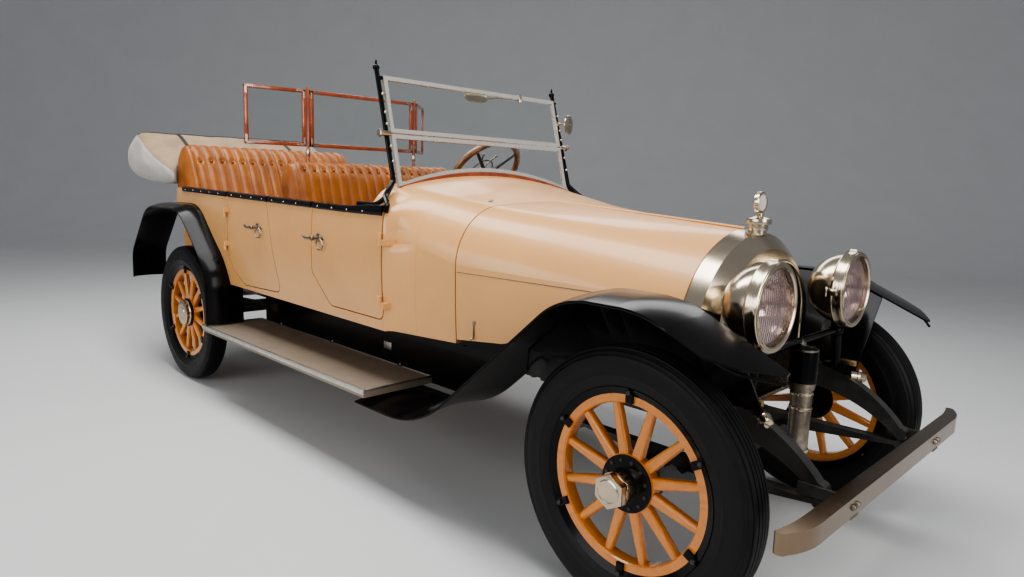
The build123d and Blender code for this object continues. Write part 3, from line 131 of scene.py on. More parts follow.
def settle(piece, name, finish, body="chassis", smooth=35):
    """Applies, shades and names a piece or a joined list, and gives it finish and body."""
    piece = join(piece) if isinstance(piece, list) else piece
    apply_all(piece)
    bpy.ops.object.shade_smooth_by_angle(angle=radians(smooth))
    piece.name = name
    piece.data.name = name
    piece.data.materials.clear()
    piece.data.materials.append(finish)
    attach(piece, body)
    return piece


# %% [markdown]
# Most pieces come in a left and a right one. A copy gets a mesh of its own, so that each can
# ride on its own body, and a mirror image has its faces turned right side out again.

# %% Copies and mirror images
mirror_y = Matrix.Scale(-1, 4, (0, 1, 0))


def copied(piece, matrix):
    """A copy with its own mesh, moved by a matrix; a mirror image is turned right side out."""
    again = piece.copy()
    again.data = piece.data.copy()
    bpy.context.scene.collection.objects.link(again)
    again.data.transform(matrix)
    if matrix.determinant() < 0:
        again.data.flip_normals()
    return again


def pair(piece):
    """A piece joined to its mirror image on the car's other side."""
    return join([piece, copied(piece, mirror_y)])


# %% [markdown]
# Most hardware starts as one of four shapes. A bar is a cylinder with its rims bevelled, a
# slab is a cube with its edges bevelled, a turned piece is a profile spun about its axis,
# and a formed piece is a grid whose vertices are laid on a form. A line is a curve with a
# round section, for beads, rings and levers, and a ball makes nails, studs and buttons.

# %% Bars, slabs and turned pieces


def bar(start, end, radius, edge=0.0, sides=24, tip=None):
    """A round bar from start to end, its rims bevelled by edge; tip is its radius at the end."""
    start, end = Vector(start), Vector(end)
    along = end - start
    deselect()
    bpy.ops.mesh.primitive_cone_add(vertices=sides, radius1=radius, radius2=tip or radius,
                                    depth=along.length, location=(start + end) / 2,
                                    rotation=along.to_track_quat("Z", "Y").to_euler())
    piece = apply_all(bpy.context.object)
    if edge:
        select_faces(piece, lambda face: len(face.vertices) > 4)
        bpy.ops.mesh.bevel(offset=edge, segments=2, affect="EDGES")
        bpy.ops.object.mode_set(mode="OBJECT")
    return piece


def slab(low, high, edge=0.002, segments=2):
    """A box between two corners, its edges bevelled."""
    low, high = Vector(low), Vector(high)
    deselect()
    bpy.ops.mesh.primitive_cube_add(size=1, location=(low + high) / 2, scale=high - low)
    piece = apply_all(bpy.context.object)
    edit_all(piece)
    bpy.ops.mesh.bevel(offset=edge, segments=segments, affect="EDGES")
    bpy.ops.object.mode_set(mode="OBJECT")
    return piece


def ball(place, radius, segments=14, rings=8):
    """A plain round head or knob."""
    deselect()
    bpy.ops.mesh.primitive_uv_sphere_add(segments=segments, ring_count=rings, radius=radius, location=place)
    return bpy.context.object


def weld(piece, distance, fill=False):
    """Merges vertices that meet, closes open ends if asked, and turns every face outward."""
    edit_all(piece)
    bpy.ops.mesh.remove_doubles(threshold=distance)
    if fill:
        bpy.ops.mesh.select_all(action="DESELECT")
        bpy.ops.mesh.select_non_manifold()
        bpy.ops.mesh.fill_holes(sides=0)
        bpy.ops.mesh.select_all(action="SELECT")
    bpy.ops.mesh.normals_make_consistent(inside=False)
    bpy.ops.object.mode_set(mode="OBJECT")
    return piece


def turned(profile, centre, axis, steps=48):
    """A closed profile of (radius, along) points spun about the axis through centre."""
    axis = Vector(axis).normalized()
    side = axis.orthogonal().normalized()
    deselect()
    bpy.ops.mesh.primitive_circle_add(vertices=len(profile), radius=0.01, fill_type="NOTHING")
    piece = bpy.context.object
    for vertex, (radius, along) in zip(piece.data.vertices, profile):
        vertex.co = Vector(centre) + side * radius + axis * along
    edit_all(piece)
    bpy.ops.mesh.spin(steps=steps, angle=2 * pi, center=centre, axis=axis)
    return weld(piece, 0.00005)


# %% Formed grids and lines


def places(piece):
    """The piece's vertices, as an array with a row for each."""
    flat = np.zeros(len(piece.data.vertices) * 3)
    piece.data.vertices.foreach_get("co", flat)
    return flat.reshape(-1, 3)


def put(piece, points):
    """Moves the piece's vertices to an array of places."""
    piece.data.vertices.foreach_set("co", points.ravel())
    piece.data.update()


def formed(across, along, place, close=True):
    """A grid laid on a form: place(u, v) takes arrays from 0 to 1 and gives the points."""
    deselect()
    bpy.ops.mesh.primitive_grid_add(x_subdivisions=across, y_subdivisions=along, size=2)
    piece = bpy.context.object
    u, v = (places(piece)[:, :2].T + 1) / 2
    put(piece, np.stack(place(u, v), axis=1))
    return weld(piece, 0.0002) if close else piece


def thicken(piece, thickness, offset=-1):
    """Makes a sheet solid, behind its faces or, with offset 0, to both sides of them."""
    solid = piece.modifiers.new("thick", "SOLIDIFY")
    solid.thickness = thickness
    solid.offset = offset
    return piece


def sheet(across, along, place, facing, thickness):
    """A formed grid whose faces look along facing, with its thickness behind them."""
    piece = formed(across, along, place, close=False)
    if piece.data.polygons[0].normal.dot(Vector(facing)) < 0:
        piece.data.flip_normals()
    return thicken(piece, thickness)


def line(points, radius, order=3, closed=False, resolution=3, smooth=6):
    """A round bead along points, as a mesh; with order 2 it runs straight between them."""
    deselect()
    bpy.ops.curve.primitive_nurbs_path_add()
    piece = bpy.context.object
    curve = piece.data
    curve.splines.clear()
    spline = curve.splines.new("NURBS" if order > 2 else "POLY")
    spline.points.add(len(points) - 1)
    for point, place in zip(spline.points, points):
        point.co = (*place, 1)
    spline.use_cyclic_u = closed
    if order > 2:
        spline.use_endpoint_u = not closed
        spline.order_u = order
    curve.resolution_u = smooth
    curve.bevel_depth = radius
    curve.bevel_resolution = resolution
    curve.use_fill_caps = not closed
    only(piece)
    bpy.ops.object.convert(target="MESH")
    return bpy.context.object


print("shapes ready")

# %% [markdown]
# Paint, leather and rubber are never one flat colour. Five shader groups give masks and
# heights that several finishes share: a soft mottle, leather grain, a canvas weave, wood
# grain and settled dust. A group puts out only values, and the shader stays in the finish.

# %% Shader groups


def add(tree, kind, ins=None, **settings):
    """Adds a node; ins sets or links its inputs, settings its properties."""
    made = tree.nodes.new("ShaderNode" + kind)
    for key, value in settings.items():
        setattr(made, key, value)
    for label, value in (ins or {}).items():
        if isinstance(value, bpy.types.NodeSocket):
            tree.links.new(value, made.inputs[label])
        else:
            made.inputs[label].default_value = value
    return made


def noise(tree, vector, scale, detail, **more):
    """A noise texture's value; more sets its other inputs."""
    made = add(tree, "TexNoise", {"Vector": vector, "Scale": scale, "Detail": detail, **more})
    return made.outputs["Fac"]


def spread(tree, value, low, high):
    """Stretches what lies between low and high over 0 to 1."""
    made = add(tree, "MapRange", {"Value": value, "From Min": low, "From Max": high})
    return made.outputs["Result"]


def calculated(tree, operation, first, second):
    """A Math node on two links or numbers; gives its value."""
    return add(tree, "Math", {0: first, 1: second}, operation=operation).outputs[0]


def new_group(name):
    """An empty group that takes a vector and a scale, and will give a mask and a height."""
    tree = bpy.data.node_groups.new(name, "ShaderNodeTree")
    tree.interface.new_socket(name="Vector", in_out="INPUT", socket_type="NodeSocketVector")
    size = tree.interface.new_socket(name="Scale", in_out="INPUT", socket_type="NodeSocketFloat")
    size.default_value = 10.0
    for output in ("Mask", "Height"):
        tree.interface.new_socket(name=output, in_out="OUTPUT", socket_type="NodeSocketFloat")
    start = tree.nodes.new("NodeGroupInput")
    return tree, start.outputs["Vector"], start.outputs["Scale"]


def put_out(tree, mask, height):
    """Links a mask and a height to the group's outputs."""
    end = tree.nodes.new("NodeGroupOutput")
    tree.links.new(mask, end.inputs["Mask"])
    tree.links.new(height, end.inputs["Height"])
    return tree


def mottle_group():
    tree, vector, scale = new_group("soft_mottle")
    cloud = noise(tree, vector, scale, 4.0, Roughness=0.6)
    return put_out(tree, spread(tree, cloud, 0.35, 0.68), cloud)


def leather_group():
    tree, vector, scale = new_group("leather_grain")
    cells = add(tree, "TexVoronoi", {"Vector": vector, "Scale": scale}, feature="DISTANCE_TO_EDGE")
    grain = spread(tree, cells.outputs["Distance"], 0.0, 0.25)
    slow = noise(tree, vector, 9.0, 3.0)
    return put_out(tree, spread(tree, slow, 0.35, 0.7), grain)


def weave_group():
    tree, vector, scale = new_group("canvas_weave")
    threads = 0.0
    for direction in ("X", "Y", "Z"):
        wave = add(tree, "TexWave", {"Vector": vector, "Scale": scale, "Distortion": 0.4},
                   bands_direction=direction)
        threads = calculated(tree, "ADD", threads, wave.outputs["Fac"])
    stain = noise(tree, vector, 7.0, 5.0)
    return put_out(tree, spread(tree, stain, 0.38, 0.7), threads)


def wood_group():
    tree, vector, scale = new_group("wood_grain")
    fibre = noise(tree, vector, scale, 6.0, Roughness=0.65, Distortion=0.4)
    return put_out(tree, spread(tree, fibre, 0.4, 0.62), fibre)


groups = {"mottle": mottle_group(), "leather": leather_group(), "weave": weave_group(),
          "wood": wood_group()}

# %% [markdown]
# Dust settles on what faces up. The group reads the surface's normal and a broken noise, and
# gives one mask that each finish uses with its own strength.

# %% Dust group


def dust_group():
    tree, vector, scale = new_group("settled_dust")
    normal = add(tree, "NewGeometry").outputs["Normal"]
    up = spread(tree, add(tree, "SeparateXYZ", {"Vector": normal}).outputs["Z"], 0.2, 1.0)
    cloud = noise(tree, vector, scale, 5.0)
    patchy = spread(tree, cloud, 0.3, 0.75)
    return put_out(tree, calculated(tree, "MULTIPLY", up, patchy), cloud)


groups["dust"] = dust_group()
print("groups", sorted(groups))

# %% [markdown]
# A finish is a Principled shader fed by one pattern for colour, roughness and bump, and by
# the dust mask. Numbers that are the same all over are set on the shader's own sockets.

# %% Finish maker
dust_colour = (0.42, 0.38, 0.32)
dust_scale = 14.0


def finish(name, colour, second, scale, rough, pattern="mottle", stretch=(1, 1, 1), centre=(0, 0, 0),
           bump=0.1, depth=0.0006, dust=0.0, radial=False, **constants):
    """A material whose colour and roughness vary over one pattern between two values.

    A radial pattern runs round the y axis through centre, as the grain of spokes does."""
    material = bpy.data.materials.new(name)
    material.use_nodes = True
    tree = material.node_tree
    shader = tree.nodes["Principled BSDF"]
    place = add(tree, "TexCoord").outputs["Object"]
    place = add(tree, "Mapping", {"Vector": place, "Location": [-c for c in centre]}).outputs["Vector"]
    if radial:
        split = add(tree, "SeparateXYZ", {"Vector": place})
        flat = add(tree, "CombineXYZ", {"X": split.outputs["X"], "Y": split.outputs["Z"]})
        around = add(tree, "TexGradient", {"Vector": flat.outputs["Vector"]}, gradient_type="RADIAL")
        out = add(tree, "VectorMath", {0: flat.outputs["Vector"]}, operation="LENGTH")
        place = add(tree, "CombineXYZ", {"X": around.outputs["Fac"], "Y": out.outputs["Value"],
                                         "Z": split.outputs["Y"]}).outputs["Vector"]
    place = add(tree, "Mapping", {"Vector": place, "Scale": stretch}).outputs["Vector"]
    marks = add(tree, "Group", node_tree=groups[pattern])
    marks.inputs["Scale"].default_value = scale
    tree.links.new(place, marks.inputs["Vector"])
    mix = add(tree, "Mix", {"Factor": marks.outputs["Mask"]}, data_type="RGBA")
    mix.inputs["A"].default_value = (*colour, 1)
    mix.inputs["B"].default_value = (*second, 1)
    result = mix.outputs["Result"]
    worn = add(tree, "MapRange", {"Value": marks.outputs["Mask"], "To Min": rough[0], "To Max": rough[1]})
    roughness = worn.outputs["Result"]
    if dust:
        settled = add(tree, "Group", node_tree=groups["dust"])
        settled.inputs["Scale"].default_value = dust_scale
        tree.links.new(place, settled.inputs["Vector"])
        share = calculated(tree, "MULTIPLY", settled.outputs["Mask"], dust)
        over = add(tree, "Mix", {"Factor": share, "A": result}, data_type="RGBA")
        over.inputs["B"].default_value = (*dust_colour, 1)
        result = over.outputs["Result"]
        roughness = calculated(tree, "ADD", roughness, share)
    tree.links.new(result, shader.inputs["Base Color"])
    tree.links.new(roughness, shader.inputs["Roughness"])
    if bump:
        relief = add(tree, "Bump", {"Height": marks.outputs["Height"], "Strength": bump, "Distance": depth})
        tree.links.new(relief.outputs["Normal"], shader.inputs["Normal"])
    for label, value in constants.items():
        shader.inputs[label.replace("_", " ")].default_value = value
    return material


# %% [markdown]
# The body is an old cream enamel under wax, the fenders black enamel, the bright work nickel
# plate that has gone warm and soft, and the wheels varnished hickory.

# %% Finishes of paint, metal and wood
cream = finish("cream_enamel", (0.68, 0.36, 0.135), (0.64, 0.33, 0.122), scale=3.0, rough=(0.3, 0.38),
               bump=0.03, depth=0.0008, Coat_Weight=0.25, Coat_Roughness=0.08)
black = finish("black_enamel", (0.003, 0.003, 0.003), (0.005, 0.004, 0.004), scale=5.0, rough=(0.16, 0.22),
               bump=0.01, Specular_IOR_Level=0.14, Coat_Weight=0.06, Coat_Roughness=0.03)
chassis_black = finish("chassis_black", (0.012, 0.012, 0.012), (0.03, 0.027, 0.024), scale=18.0,
                       rough=(0.3, 0.5), bump=0.1, dust=0.12)
nickel = finish("nickel_plate", (0.60, 0.51, 0.39), (0.53, 0.445, 0.335), scale=9.0, rough=(0.17, 0.24),
                bump=0.02, Metallic=1.0)
# The windshield frame's nickel is paler and less metallic than the other nickel: a painted highlight that
# stands in for the bright reflection its flat faces would show.
frame_nickel = finish("frame_nickel", (0.84, 0.80, 0.73), (0.78, 0.73, 0.64), scale=20.0, rough=(0.2, 0.3),
                      bump=0.02, Metallic=0.7)
bumper_nickel = finish("bumper_nickel", (0.27, 0.20, 0.14), (0.24, 0.175, 0.12), scale=5.0,
                       rough=(0.16, 0.22), bump=0.01, Metallic=1.0)
dark_nickel = finish("dark_nickel", (0.33, 0.29, 0.23), (0.2, 0.17, 0.13), scale=50.0, rough=(0.28, 0.42),
                     bump=0.08, Metallic=1.0)
brass = finish("old_brass", (0.62, 0.43, 0.18), (0.45, 0.3, 0.12), scale=30.0, rough=(0.25, 0.4),
               bump=0.05, Metallic=1.0)
iron = finish("cast_iron", (0.08, 0.078, 0.074), (0.14, 0.12, 0.1), scale=60.0, rough=(0.55, 0.75),
              bump=0.4, Metallic=0.6)
steel = finish("exhaust_steel", (0.2, 0.17, 0.14), (0.12, 0.08, 0.055), scale=25.0, rough=(0.45, 0.65),
               bump=0.2, Metallic=0.8)
rubber = finish("tyre_rubber", (0.005, 0.005, 0.005), (0.008, 0.0075, 0.007), scale=22.0,
                rough=(0.42, 0.55), bump=0.12, dust=0.01, Specular_IOR_Level=0.22)
screen_wood = finish("red_brown_wood", (0.34, 0.075, 0.022), (0.2, 0.04, 0.014), pattern="wood",
                     scale=14.0, stretch=(3, 1, 1), rough=(0.2, 0.32), bump=0.08, Coat_Weight=0.7,
                     Coat_Roughness=0.08)
rim_wood = finish("steering_wood", (0.3, 0.13, 0.035), (0.17, 0.065, 0.018), pattern="wood", scale=20.0,
                  rough=(0.25, 0.35), bump=0.06, Coat_Weight=0.6, Coat_Roughness=0.1)
dash_wood = finish("dash_wood", (0.26, 0.11, 0.04), (0.14, 0.05, 0.018), pattern="wood", scale=10.0,
                   stretch=(8, 1, 8), rough=(0.25, 0.4), bump=0.05, Coat_Weight=0.6, Coat_Roughness=0.1)
spoke_wood = {}
for end, axle_x in (("front", rear_axle_x + wheelbase), ("rear", rear_axle_x)):
    spoke_wood[end] = finish("hickory_" + end, (0.66, 0.235, 0.028), (0.5, 0.15, 0.016), pattern="wood",
                             scale=6.0, stretch=(60, 3, 14), centre=(axle_x, 0, tyre_radius), radial=True,
                             rough=(0.22, 0.34), bump=0.05, Coat_Weight=0.8, Coat_Roughness=0.07)
print("hard finishes", len(bpy.data.materials))

# %% Finishes of leather, cloth and rubber
leather = finish("tan_leather", (0.33, 0.105, 0.016), (0.22, 0.065, 0.010), pattern="leather",
                 scale=420.0, rough=(0.32, 0.48), bump=0.16, depth=0.0006, Specular_IOR_Level=0.35,
                 Coat_Weight=0.1, Coat_Roughness=0.3)
canvas = finish("grey_canvas", (0.50, 0.465, 0.42), (0.41, 0.375, 0.33), pattern="weave", scale=190.0,
                rough=(0.8, 0.95), bump=0.35, depth=0.0006, Sheen_Weight=0.2)
khaki = finish("khaki_lining", (0.33, 0.225, 0.13), (0.26, 0.17, 0.095), pattern="weave", scale=230.0,
               rough=(0.8, 0.95), bump=0.3, depth=0.0005, Sheen_Weight=0.2)
binding = finish("black_binding", (0.014, 0.013, 0.012), (0.03, 0.028, 0.025), pattern="weave", scale=300.0,
                 rough=(0.5, 0.7), bump=0.3, depth=0.0004)
carpet = finish("floor_carpet", (0.06, 0.045, 0.035), (0.1, 0.075, 0.055), scale=160.0, rough=(0.85, 1.0),
                bump=0.8, depth=0.002, Sheen_Weight=0.3)
linoleum = finish("board_linoleum", (0.25, 0.20, 0.15), (0.215, 0.17, 0.125), scale=6.0, rough=(0.4, 0.5),
                  bump=0.04)
aluminium = finish("board_edging", (0.62, 0.6, 0.56), (0.5, 0.48, 0.45), scale=30.0, rough=(0.28, 0.42),
                   bump=0.06, Metallic=1.0)
core_metal = finish("core_metal", (0.10, 0.085, 0.06), (0.05, 0.042, 0.032), scale=40.0, rough=(0.4, 0.6),
                    bump=0.1, Metallic=0.8)
print("all finishes", len(bpy.data.materials))

# %% [markdown]
# Glass is a thin clear pane here, so it keeps a plain full transmission. The lens glass is
# the same with its pink tinge of age, and a little rougher.

# %% Glass


def glass(name, colour, rough):
    """A clear finish that lets all light through."""
    material = finish(name, colour, tuple(c * 0.97 for c in colour), scale=4.0, rough=rough, bump=0.0,
                      IOR=1.3)
    material.node_tree.nodes["Principled BSDF"].inputs["Transmission Weight"].default_value = 1.0
    return material


pane_glass = glass("pane_glass", (0.93, 0.95, 0.94), (0.0, 0.02))
lens_glass = glass("lens_glass", (0.86, 0.72, 0.70), (0.03, 0.08))
dial_white = finish("dial_white", (0.72, 0.68, 0.58), (0.62, 0.57, 0.47), scale=30.0, rough=(0.5, 0.6))

# %% [markdown]
# Every CAD node whose shape is right keeps its mesh and gets one of these finishes in its
# material slots.

# %% Finishes on the CAD nodes
node_finish = {
    chassis_black: ["frame_rails", "frame_crossmembers", "leaf_springs", "front_axle", "knuckle_left",
                    "knuckle_right", "tie_rod", "rear_axle", "fuel_tank", "driver_controls"],
    black: ["front_fenders", "rear_fenders", "splash_aprons", "lamp_bracket", "steering_column",
            "windshield_posts"],
    cream: ["body_tub", "door_front_left", "door_front_right", "door_rear_left", "door_rear_right",
            "cowl", "hood_left", "hood_right"],
    nickel: ["radiator_shell", "radiator_cap", "headlamp_shells"],
    frame_nickel: ["windshield_frame"],
    bumper_nickel: ["front_bumper"],
    dark_nickel: ["horn"],
    iron: ["engine_block"],
    steel: ["exhaust"],
    core_metal: ["radiator_core"],
    pane_glass: ["window_glass"],
    lens_glass: ["headlamp_lenses"],
    screen_wood: ["tonneau_frame"],
    dash_wood: ["dashboard"],
    rim_wood: ["steering_wheel"],
    linoleum: ["running_boards"],
    leather: ["front_seat", "rear_seat"],
    canvas: ["folded_top"],
    rubber: [],
}
for end, wood in spoke_wood.items():
    node_finish[wood] = [f"wood_wheel_{end}_left", f"wood_wheel_{end}_right"]
    for tag in ("left", "right"):
        node_finish[rubber].append(f"tyre_{end}_{tag}")
        node_finish[black].append(f"hub_{end}_{tag}")
for material, names in node_finish.items():
    for name in names:
        nodes[name].data.materials.clear()
        nodes[name].data.materials.append(material)
print("nodes finished", sum(len(names) for names in node_finish.values()), "of", len(nodes))

# %% [markdown]
# Trim has to lie on the panel that carries it. A ray cast against the CAD node finds the
# skin at a given height and length, so a handle or a moulding sits on it exactly.

# %% Finding the skin


def skin_y(node, x, z, side, inside=False):
    """How far from the centre plane a node's outer or inner skin is, x from the rear axle."""
    start, way = (0.40, 1) if inside else (1.5, -1)
    hit, point, normal, face = nodes[node].ray_cast(car(x, side * start, z), Vector((0, side * way, 0)))
    return abs(point.y) if hit else None


print("door skin at", skin_y("door_front_right", 1.9, 1.1, -1))

# %% [markdown]
# The seats are sprung benches in tan leather. Each cushion begins as a plain grid wrapped on
# the bench's section and drawn in at both ends, a little smaller than the CAD solid that it
# stands for, so the padding has room to swell.

# %% Section wrapped into a closed pad
end_roundness = 2.4
section_points = 96


def smooth_section(points):
    """Evenly spaced points round a closed section of (along, up) corners, corners softened."""
    ring = np.array(points, float)
    for _ in range(3):
        after = np.roll(ring, -1, axis=0)
        ring = np.stack((ring * 0.75 + after * 0.25, ring * 0.25 + after * 0.75), axis=1).reshape(-1, 2)
    closed = np.vstack((ring, ring[:1]))
    steps = np.r_[0, np.cumsum(np.hypot(*np.diff(closed, axis=0).T))]
    wanted = np.linspace(0, steps[-1], section_points)
    return np.stack([np.interp(wanted, steps, closed[:, k]) for k in (0, 1)], axis=1)


def pad_blank(section, half_width, corner):
    """A closed pad: the section carried across the car, its ends rounded over corner metres."""
    ring = smooth_section(section)
    middle = ring[:-1].mean(axis=0)

    def place(u, v):
        s = np.clip(u * 2 - 1, -1, 1)
        y = s * half_width
        near_end = np.clip((abs(y) - (half_width - corner)) / corner, 0, 1)
        keep = np.sqrt(np.clip(1 - near_end ** end_roundness, 0.0004, 1))
        index = v * (len(ring) - 1)
        along = np.interp(index, np.arange(len(ring)), ring[:, 0])
        up = np.interp(index, np.arange(len(ring)), ring[:, 1])
        return (middle[0] + (along - middle[0]) * keep + rear_axle_x, y,
                middle[1] + (up - middle[1]) * keep)

    return formed(90, section_points - 1, place)


# %% [markdown]
# A stuffed pad is not a rounded box: it swells between its seams. The blank is remeshed into
# even squares and blown up as cloth, with the gravity off and each point's travel capped,
# which gives a rounder belly than any formula. Pleats come after it, since they are narrower
# than the squares.

# %% Swelling a pad


swell_frames = 20
stuffing_pressure = 4.0


def remeshed(piece, voxel):
    """Rebuilds a closed pad from even squares as wide as voxel."""
    only(piece)
    squares = piece.modifiers.new("even_squares", "REMESH")
    squares.mode = "VOXEL"
    squares.voxel_size = voxel
    bpy.ops.object.modifier_apply(modifier=squares.name)
    return piece


def swell(piece, cap, voxel=0.014):
    """Cloth under pressure for some frames, no point moving further than cap."""
    remeshed(piece, voxel)
    before = places(piece)
    cloth = piece.modifiers.new("stuffing", "CLOTH")
    cloth.settings.use_pressure = True
    cloth.settings.uniform_pressure_force = stuffing_pressure
    cloth.settings.effector_weights.gravity = 0
    cloth.settings.quality = 4
    cloth.point_cache.frame_end = swell_frames
    for number in range(1, swell_frames + 1):
        bpy.context.scene.frame_set(number)
    only(piece)
    bpy.ops.object.modifier_apply(modifier=cloth.name)
    bpy.context.scene.frame_set(1)
    moved = places(piece) - before
    length = np.linalg.norm(moved, axis=1, keepdims=True)
    put(piece, before + moved * np.minimum(1, cap / np.maximum(length, 1e-9)))
    return piece


def subdivided(piece):
    """Splits each face in four, fine enough for the pleats."""
    only(piece)
    finer = piece.modifiers.new("finer", "SUBSURF")
    finer.levels = 1
    bpy.ops.object.modifier_apply(modifier=finer.name)
    return piece


def vertex_normals(piece):
    """The normals at the piece's vertices, as an array with a row for each."""
    flat = np.zeros(len(piece.data.vertices) * 3)
    piece.data.vertex_normals.foreach_get("vector", flat)
    return flat.reshape(-1, 3)


# %% [markdown]
# The upholsterer pleats the leather: upright folds a hand apart, each drawn down by a button
# just below the roll. A pleat is a round swell with a sharp valley at each side, so the
# surface is lowered along its normal by a half round that repeats across the seat.

# %% Pleats and buttons


dimple_depth, dimple_width = 0.013, 0.022


def pleated(piece, spacing, depth, where, edge=0.05, half_width=0.6, buttons=()):
    """Draws valleys every spacing metres across y, and a dimple round each button.

    where(normals) says from 0 to 1 which sides of the pad are pleated."""
    points, normals = places(piece), vertex_normals(piece)
    across = (points[:, 1] / spacing) % 1.0
    swell_form = np.sqrt(np.clip(1 - (2 * across - 1) ** 2, 0, 1))
    fade = np.clip((half_width - abs(points[:, 1])) / edge, 0, 1) * where(normals)
    sink = depth * (1 - swell_form) * fade
    for place in buttons:
        away = np.linalg.norm(points - np.array(place), axis=1)
        sink = np.maximum(sink, dimple_depth * np.exp(-(away / dimple_width) ** 2))
    put(piece, points - normals * sink[:, None])
    return piece


def on_face(normals):
    """A back is pleated on its sloping face and the top of its roll, not behind."""
    return np.clip((normals[:, 0] + normals[:, 2] * 0.8 + 0.25) * 2.2, 0, 1)


def on_top(normals):
    """A cushion is pleated on its top."""
    return np.clip(normals[:, 2] * 1.5, 0, 1)


def buttons_on(piece, rays, radius, name):
    """Leather buttons where rays of (start, direction) meet the pad; gives their places."""
    found, made = [], []
    for start, towards in rays:
        hit, point, normal, face = piece.ray_cast(start, towards)
        if hit:
            found.append(point)
            made.append(ball(point - normal * 0.004, radius))
    settle(made, name, leather)
    return found


# %% [markdown]
# The front bench: a flat cushion with crosswise pleats, and a back whose padded roll hangs
# over its rear edge. The back's section follows the photographed end: straight rear, round
# roll, and a face that slopes down to the cushion.

# %% Front seat
front_back_section = [(1.150, 0.835), (1.290, 0.835), (1.285, 1.02), (1.215, 1.25), (1.160, 1.45),
                      (1.095, 1.478), (1.020, 1.462), (1.008, 1.400), (1.055, 1.330), (1.105, 1.10)]
front_pleat = 0.062
front_back = pad_blank(front_back_section, 0.634, 0.10)
swell(front_back, 0.012)
subdivided(front_back)
front_rays = [(car(1.6, y, 1.44), Vector((-1, 0, -0.05))) for y in np.arange(-0.5115, 0.52, front_pleat)]
front_buttons = buttons_on(front_back, front_rays, 0.0075, "front_back_buttons")
pleated(front_back, front_pleat, 0.012, on_face, edge=0.06, buttons=front_buttons)
settle(front_back, "front_seat_back", leather, smooth=60)
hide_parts("front_seat")

front_cushion = pad_blank([(1.275, 0.812), (1.785, 0.812), (1.792, 0.985), (1.62, 1.0), (1.3, 1.0)],
                          0.632, 0.07)
swell(front_cushion, 0.012)
subdivided(front_cushion)
pleated(front_cushion, 0.125, 0.010, on_top, half_width=0.58)
settle(front_cushion, "front_seat_cushion", leather, smooth=60)

# %% [markdown]
# The rear bench is deeper and fills the body from side to side. Below the belt its back is
# drawn in, because the body's round stern leaves less room there than above.

# %% Rear seat
rear_back_section = [(-0.36, 0.835), (0.0, 0.835), (0.0, 1.0), (-0.075, 1.25), (-0.205, 1.525),
                     (-0.27, 1.577), (-0.335, 1.577), (-0.40, 1.50), (-0.395, 1.30)]
rear_pleat = 0.074
rear_half_width, low_half_width, belt_height = 0.684, 0.555, 1.19
rear_back = pad_blank(rear_back_section, rear_half_width, 0.09)
stern = places(rear_back)
low = np.clip((belt_height - stern[:, 2]) / 0.02, 0, 1)
stern[:, 1] = stern[:, 1] * (1 - low * (1 - low_half_width / rear_half_width))
put(rear_back, stern)
swell(rear_back, 0.010, voxel=0.015)
subdivided(rear_back)
rear_rays = [(car(0.4, y, 1.46), Vector((-1, 0, 0.0))) for y in np.arange(-0.555, 0.56, rear_pleat)]
rear_buttons = buttons_on(rear_back, rear_rays, 0.008, "rear_back_buttons")
pleated(rear_back, rear_pleat, 0.014, on_face, half_width=0.655, buttons=rear_buttons)
settle(rear_back, "rear_seat_back", leather, smooth=60)
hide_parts("rear_seat")

rear_cushion = pad_blank([(-0.02, 0.812), (0.495, 0.812), (0.502, 0.985), (0.33, 0.992), (0.01, 0.985)],
                         0.548, 0.07)
swell(rear_cushion, 0.010)
subdivided(rear_cushion)
pleated(rear_cushion, 0.137, 0.010, on_top, half_width=0.5)
settle(rear_cushion, "rear_seat_cushion", leather, smooth=60)

# %% [markdown]
# The folded top lies behind the rear bench inside a canvas boot. Its section is the one the
# photograph shows at the near end: a pointed lip above, a full belly behind, and a flat
# underside on the body. In plan it must pass round the body's round stern, so each point is
# held behind that curve.

# %% Boot over the folded top
boot_section = [(-0.185, 1.312), (-0.262, 1.400), (-0.50, 1.468), (-0.735, 1.545), (-0.945, 1.662),
                (-1.045, 1.636), (-1.18, 1.570), (-1.236, 1.500), (-1.218, 1.412), (-1.088, 1.346),
                (-0.90, 1.316), (-0.710, 1.304), (-0.360, 1.296)]
boot_half_width = 0.748
stern_y = [0, 0.30, 0.464, 0.560, 0.640, 0.690, 0.7085, 0.716]
stern_x = [-0.442, -0.436, -0.428, -0.408, -0.372, -0.300, -0.235, -0.12]
fold_height = 0.0045
lining_back = -1.06


def held_back(points):
    """The points, none further forward than just behind the body's round stern."""
    stern = np.interp(abs(points[:, 1]), stern_y, stern_x) + rear_axle_x
    points[:, 0] = np.minimum(points[:, 0], stern)
    return points


boot = pad_blank(boot_section, boot_half_width, 0.05)
put(boot, held_back(places(boot)))
swell(boot, 0.012, voxel=0.016)
subdivided(boot)
held, normals = places(boot), vertex_normals(boot)
along, across = held[:, 0] - rear_axle_x, held[:, 1]
folds = (np.sin(across * 21 + 9 * held[:, 2]) * 0.35 + np.sin(across * 47 - along * 8) * 0.2
         + np.sin(along * 33 + across * 5) * 0.3)
folds = folds * np.clip((along * -1 - 0.3) * 2, 0, 1)
put(boot, held_back(held + normals * (folds * fold_height)[:, None]))
settle(boot, "top_boot", canvas, smooth=60)
boot.data.materials.append(khaki)
for face in boot.data.polygons:
    if face.normal.z > 0.45 and face.center.x - rear_axle_x > lining_back:
        face.material_index = 1
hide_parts("folded_top")

# %% [markdown]
# A black binding edges the boot where its canvas meets the lining, and two straps hold the
# bundle down. Both are laid on the boot by rays cast at its surface.

# %% Binding and straps


def dropped_on(piece, points, lift):
    """Points let down until they meet the piece, then lifted off it."""
    found = []
    for point in points:
        hit, place, normal, face = piece.ray_cast(point, Vector((0, 0, -1)))
        if hit:
            found.append(place + normal * lift)
    return found


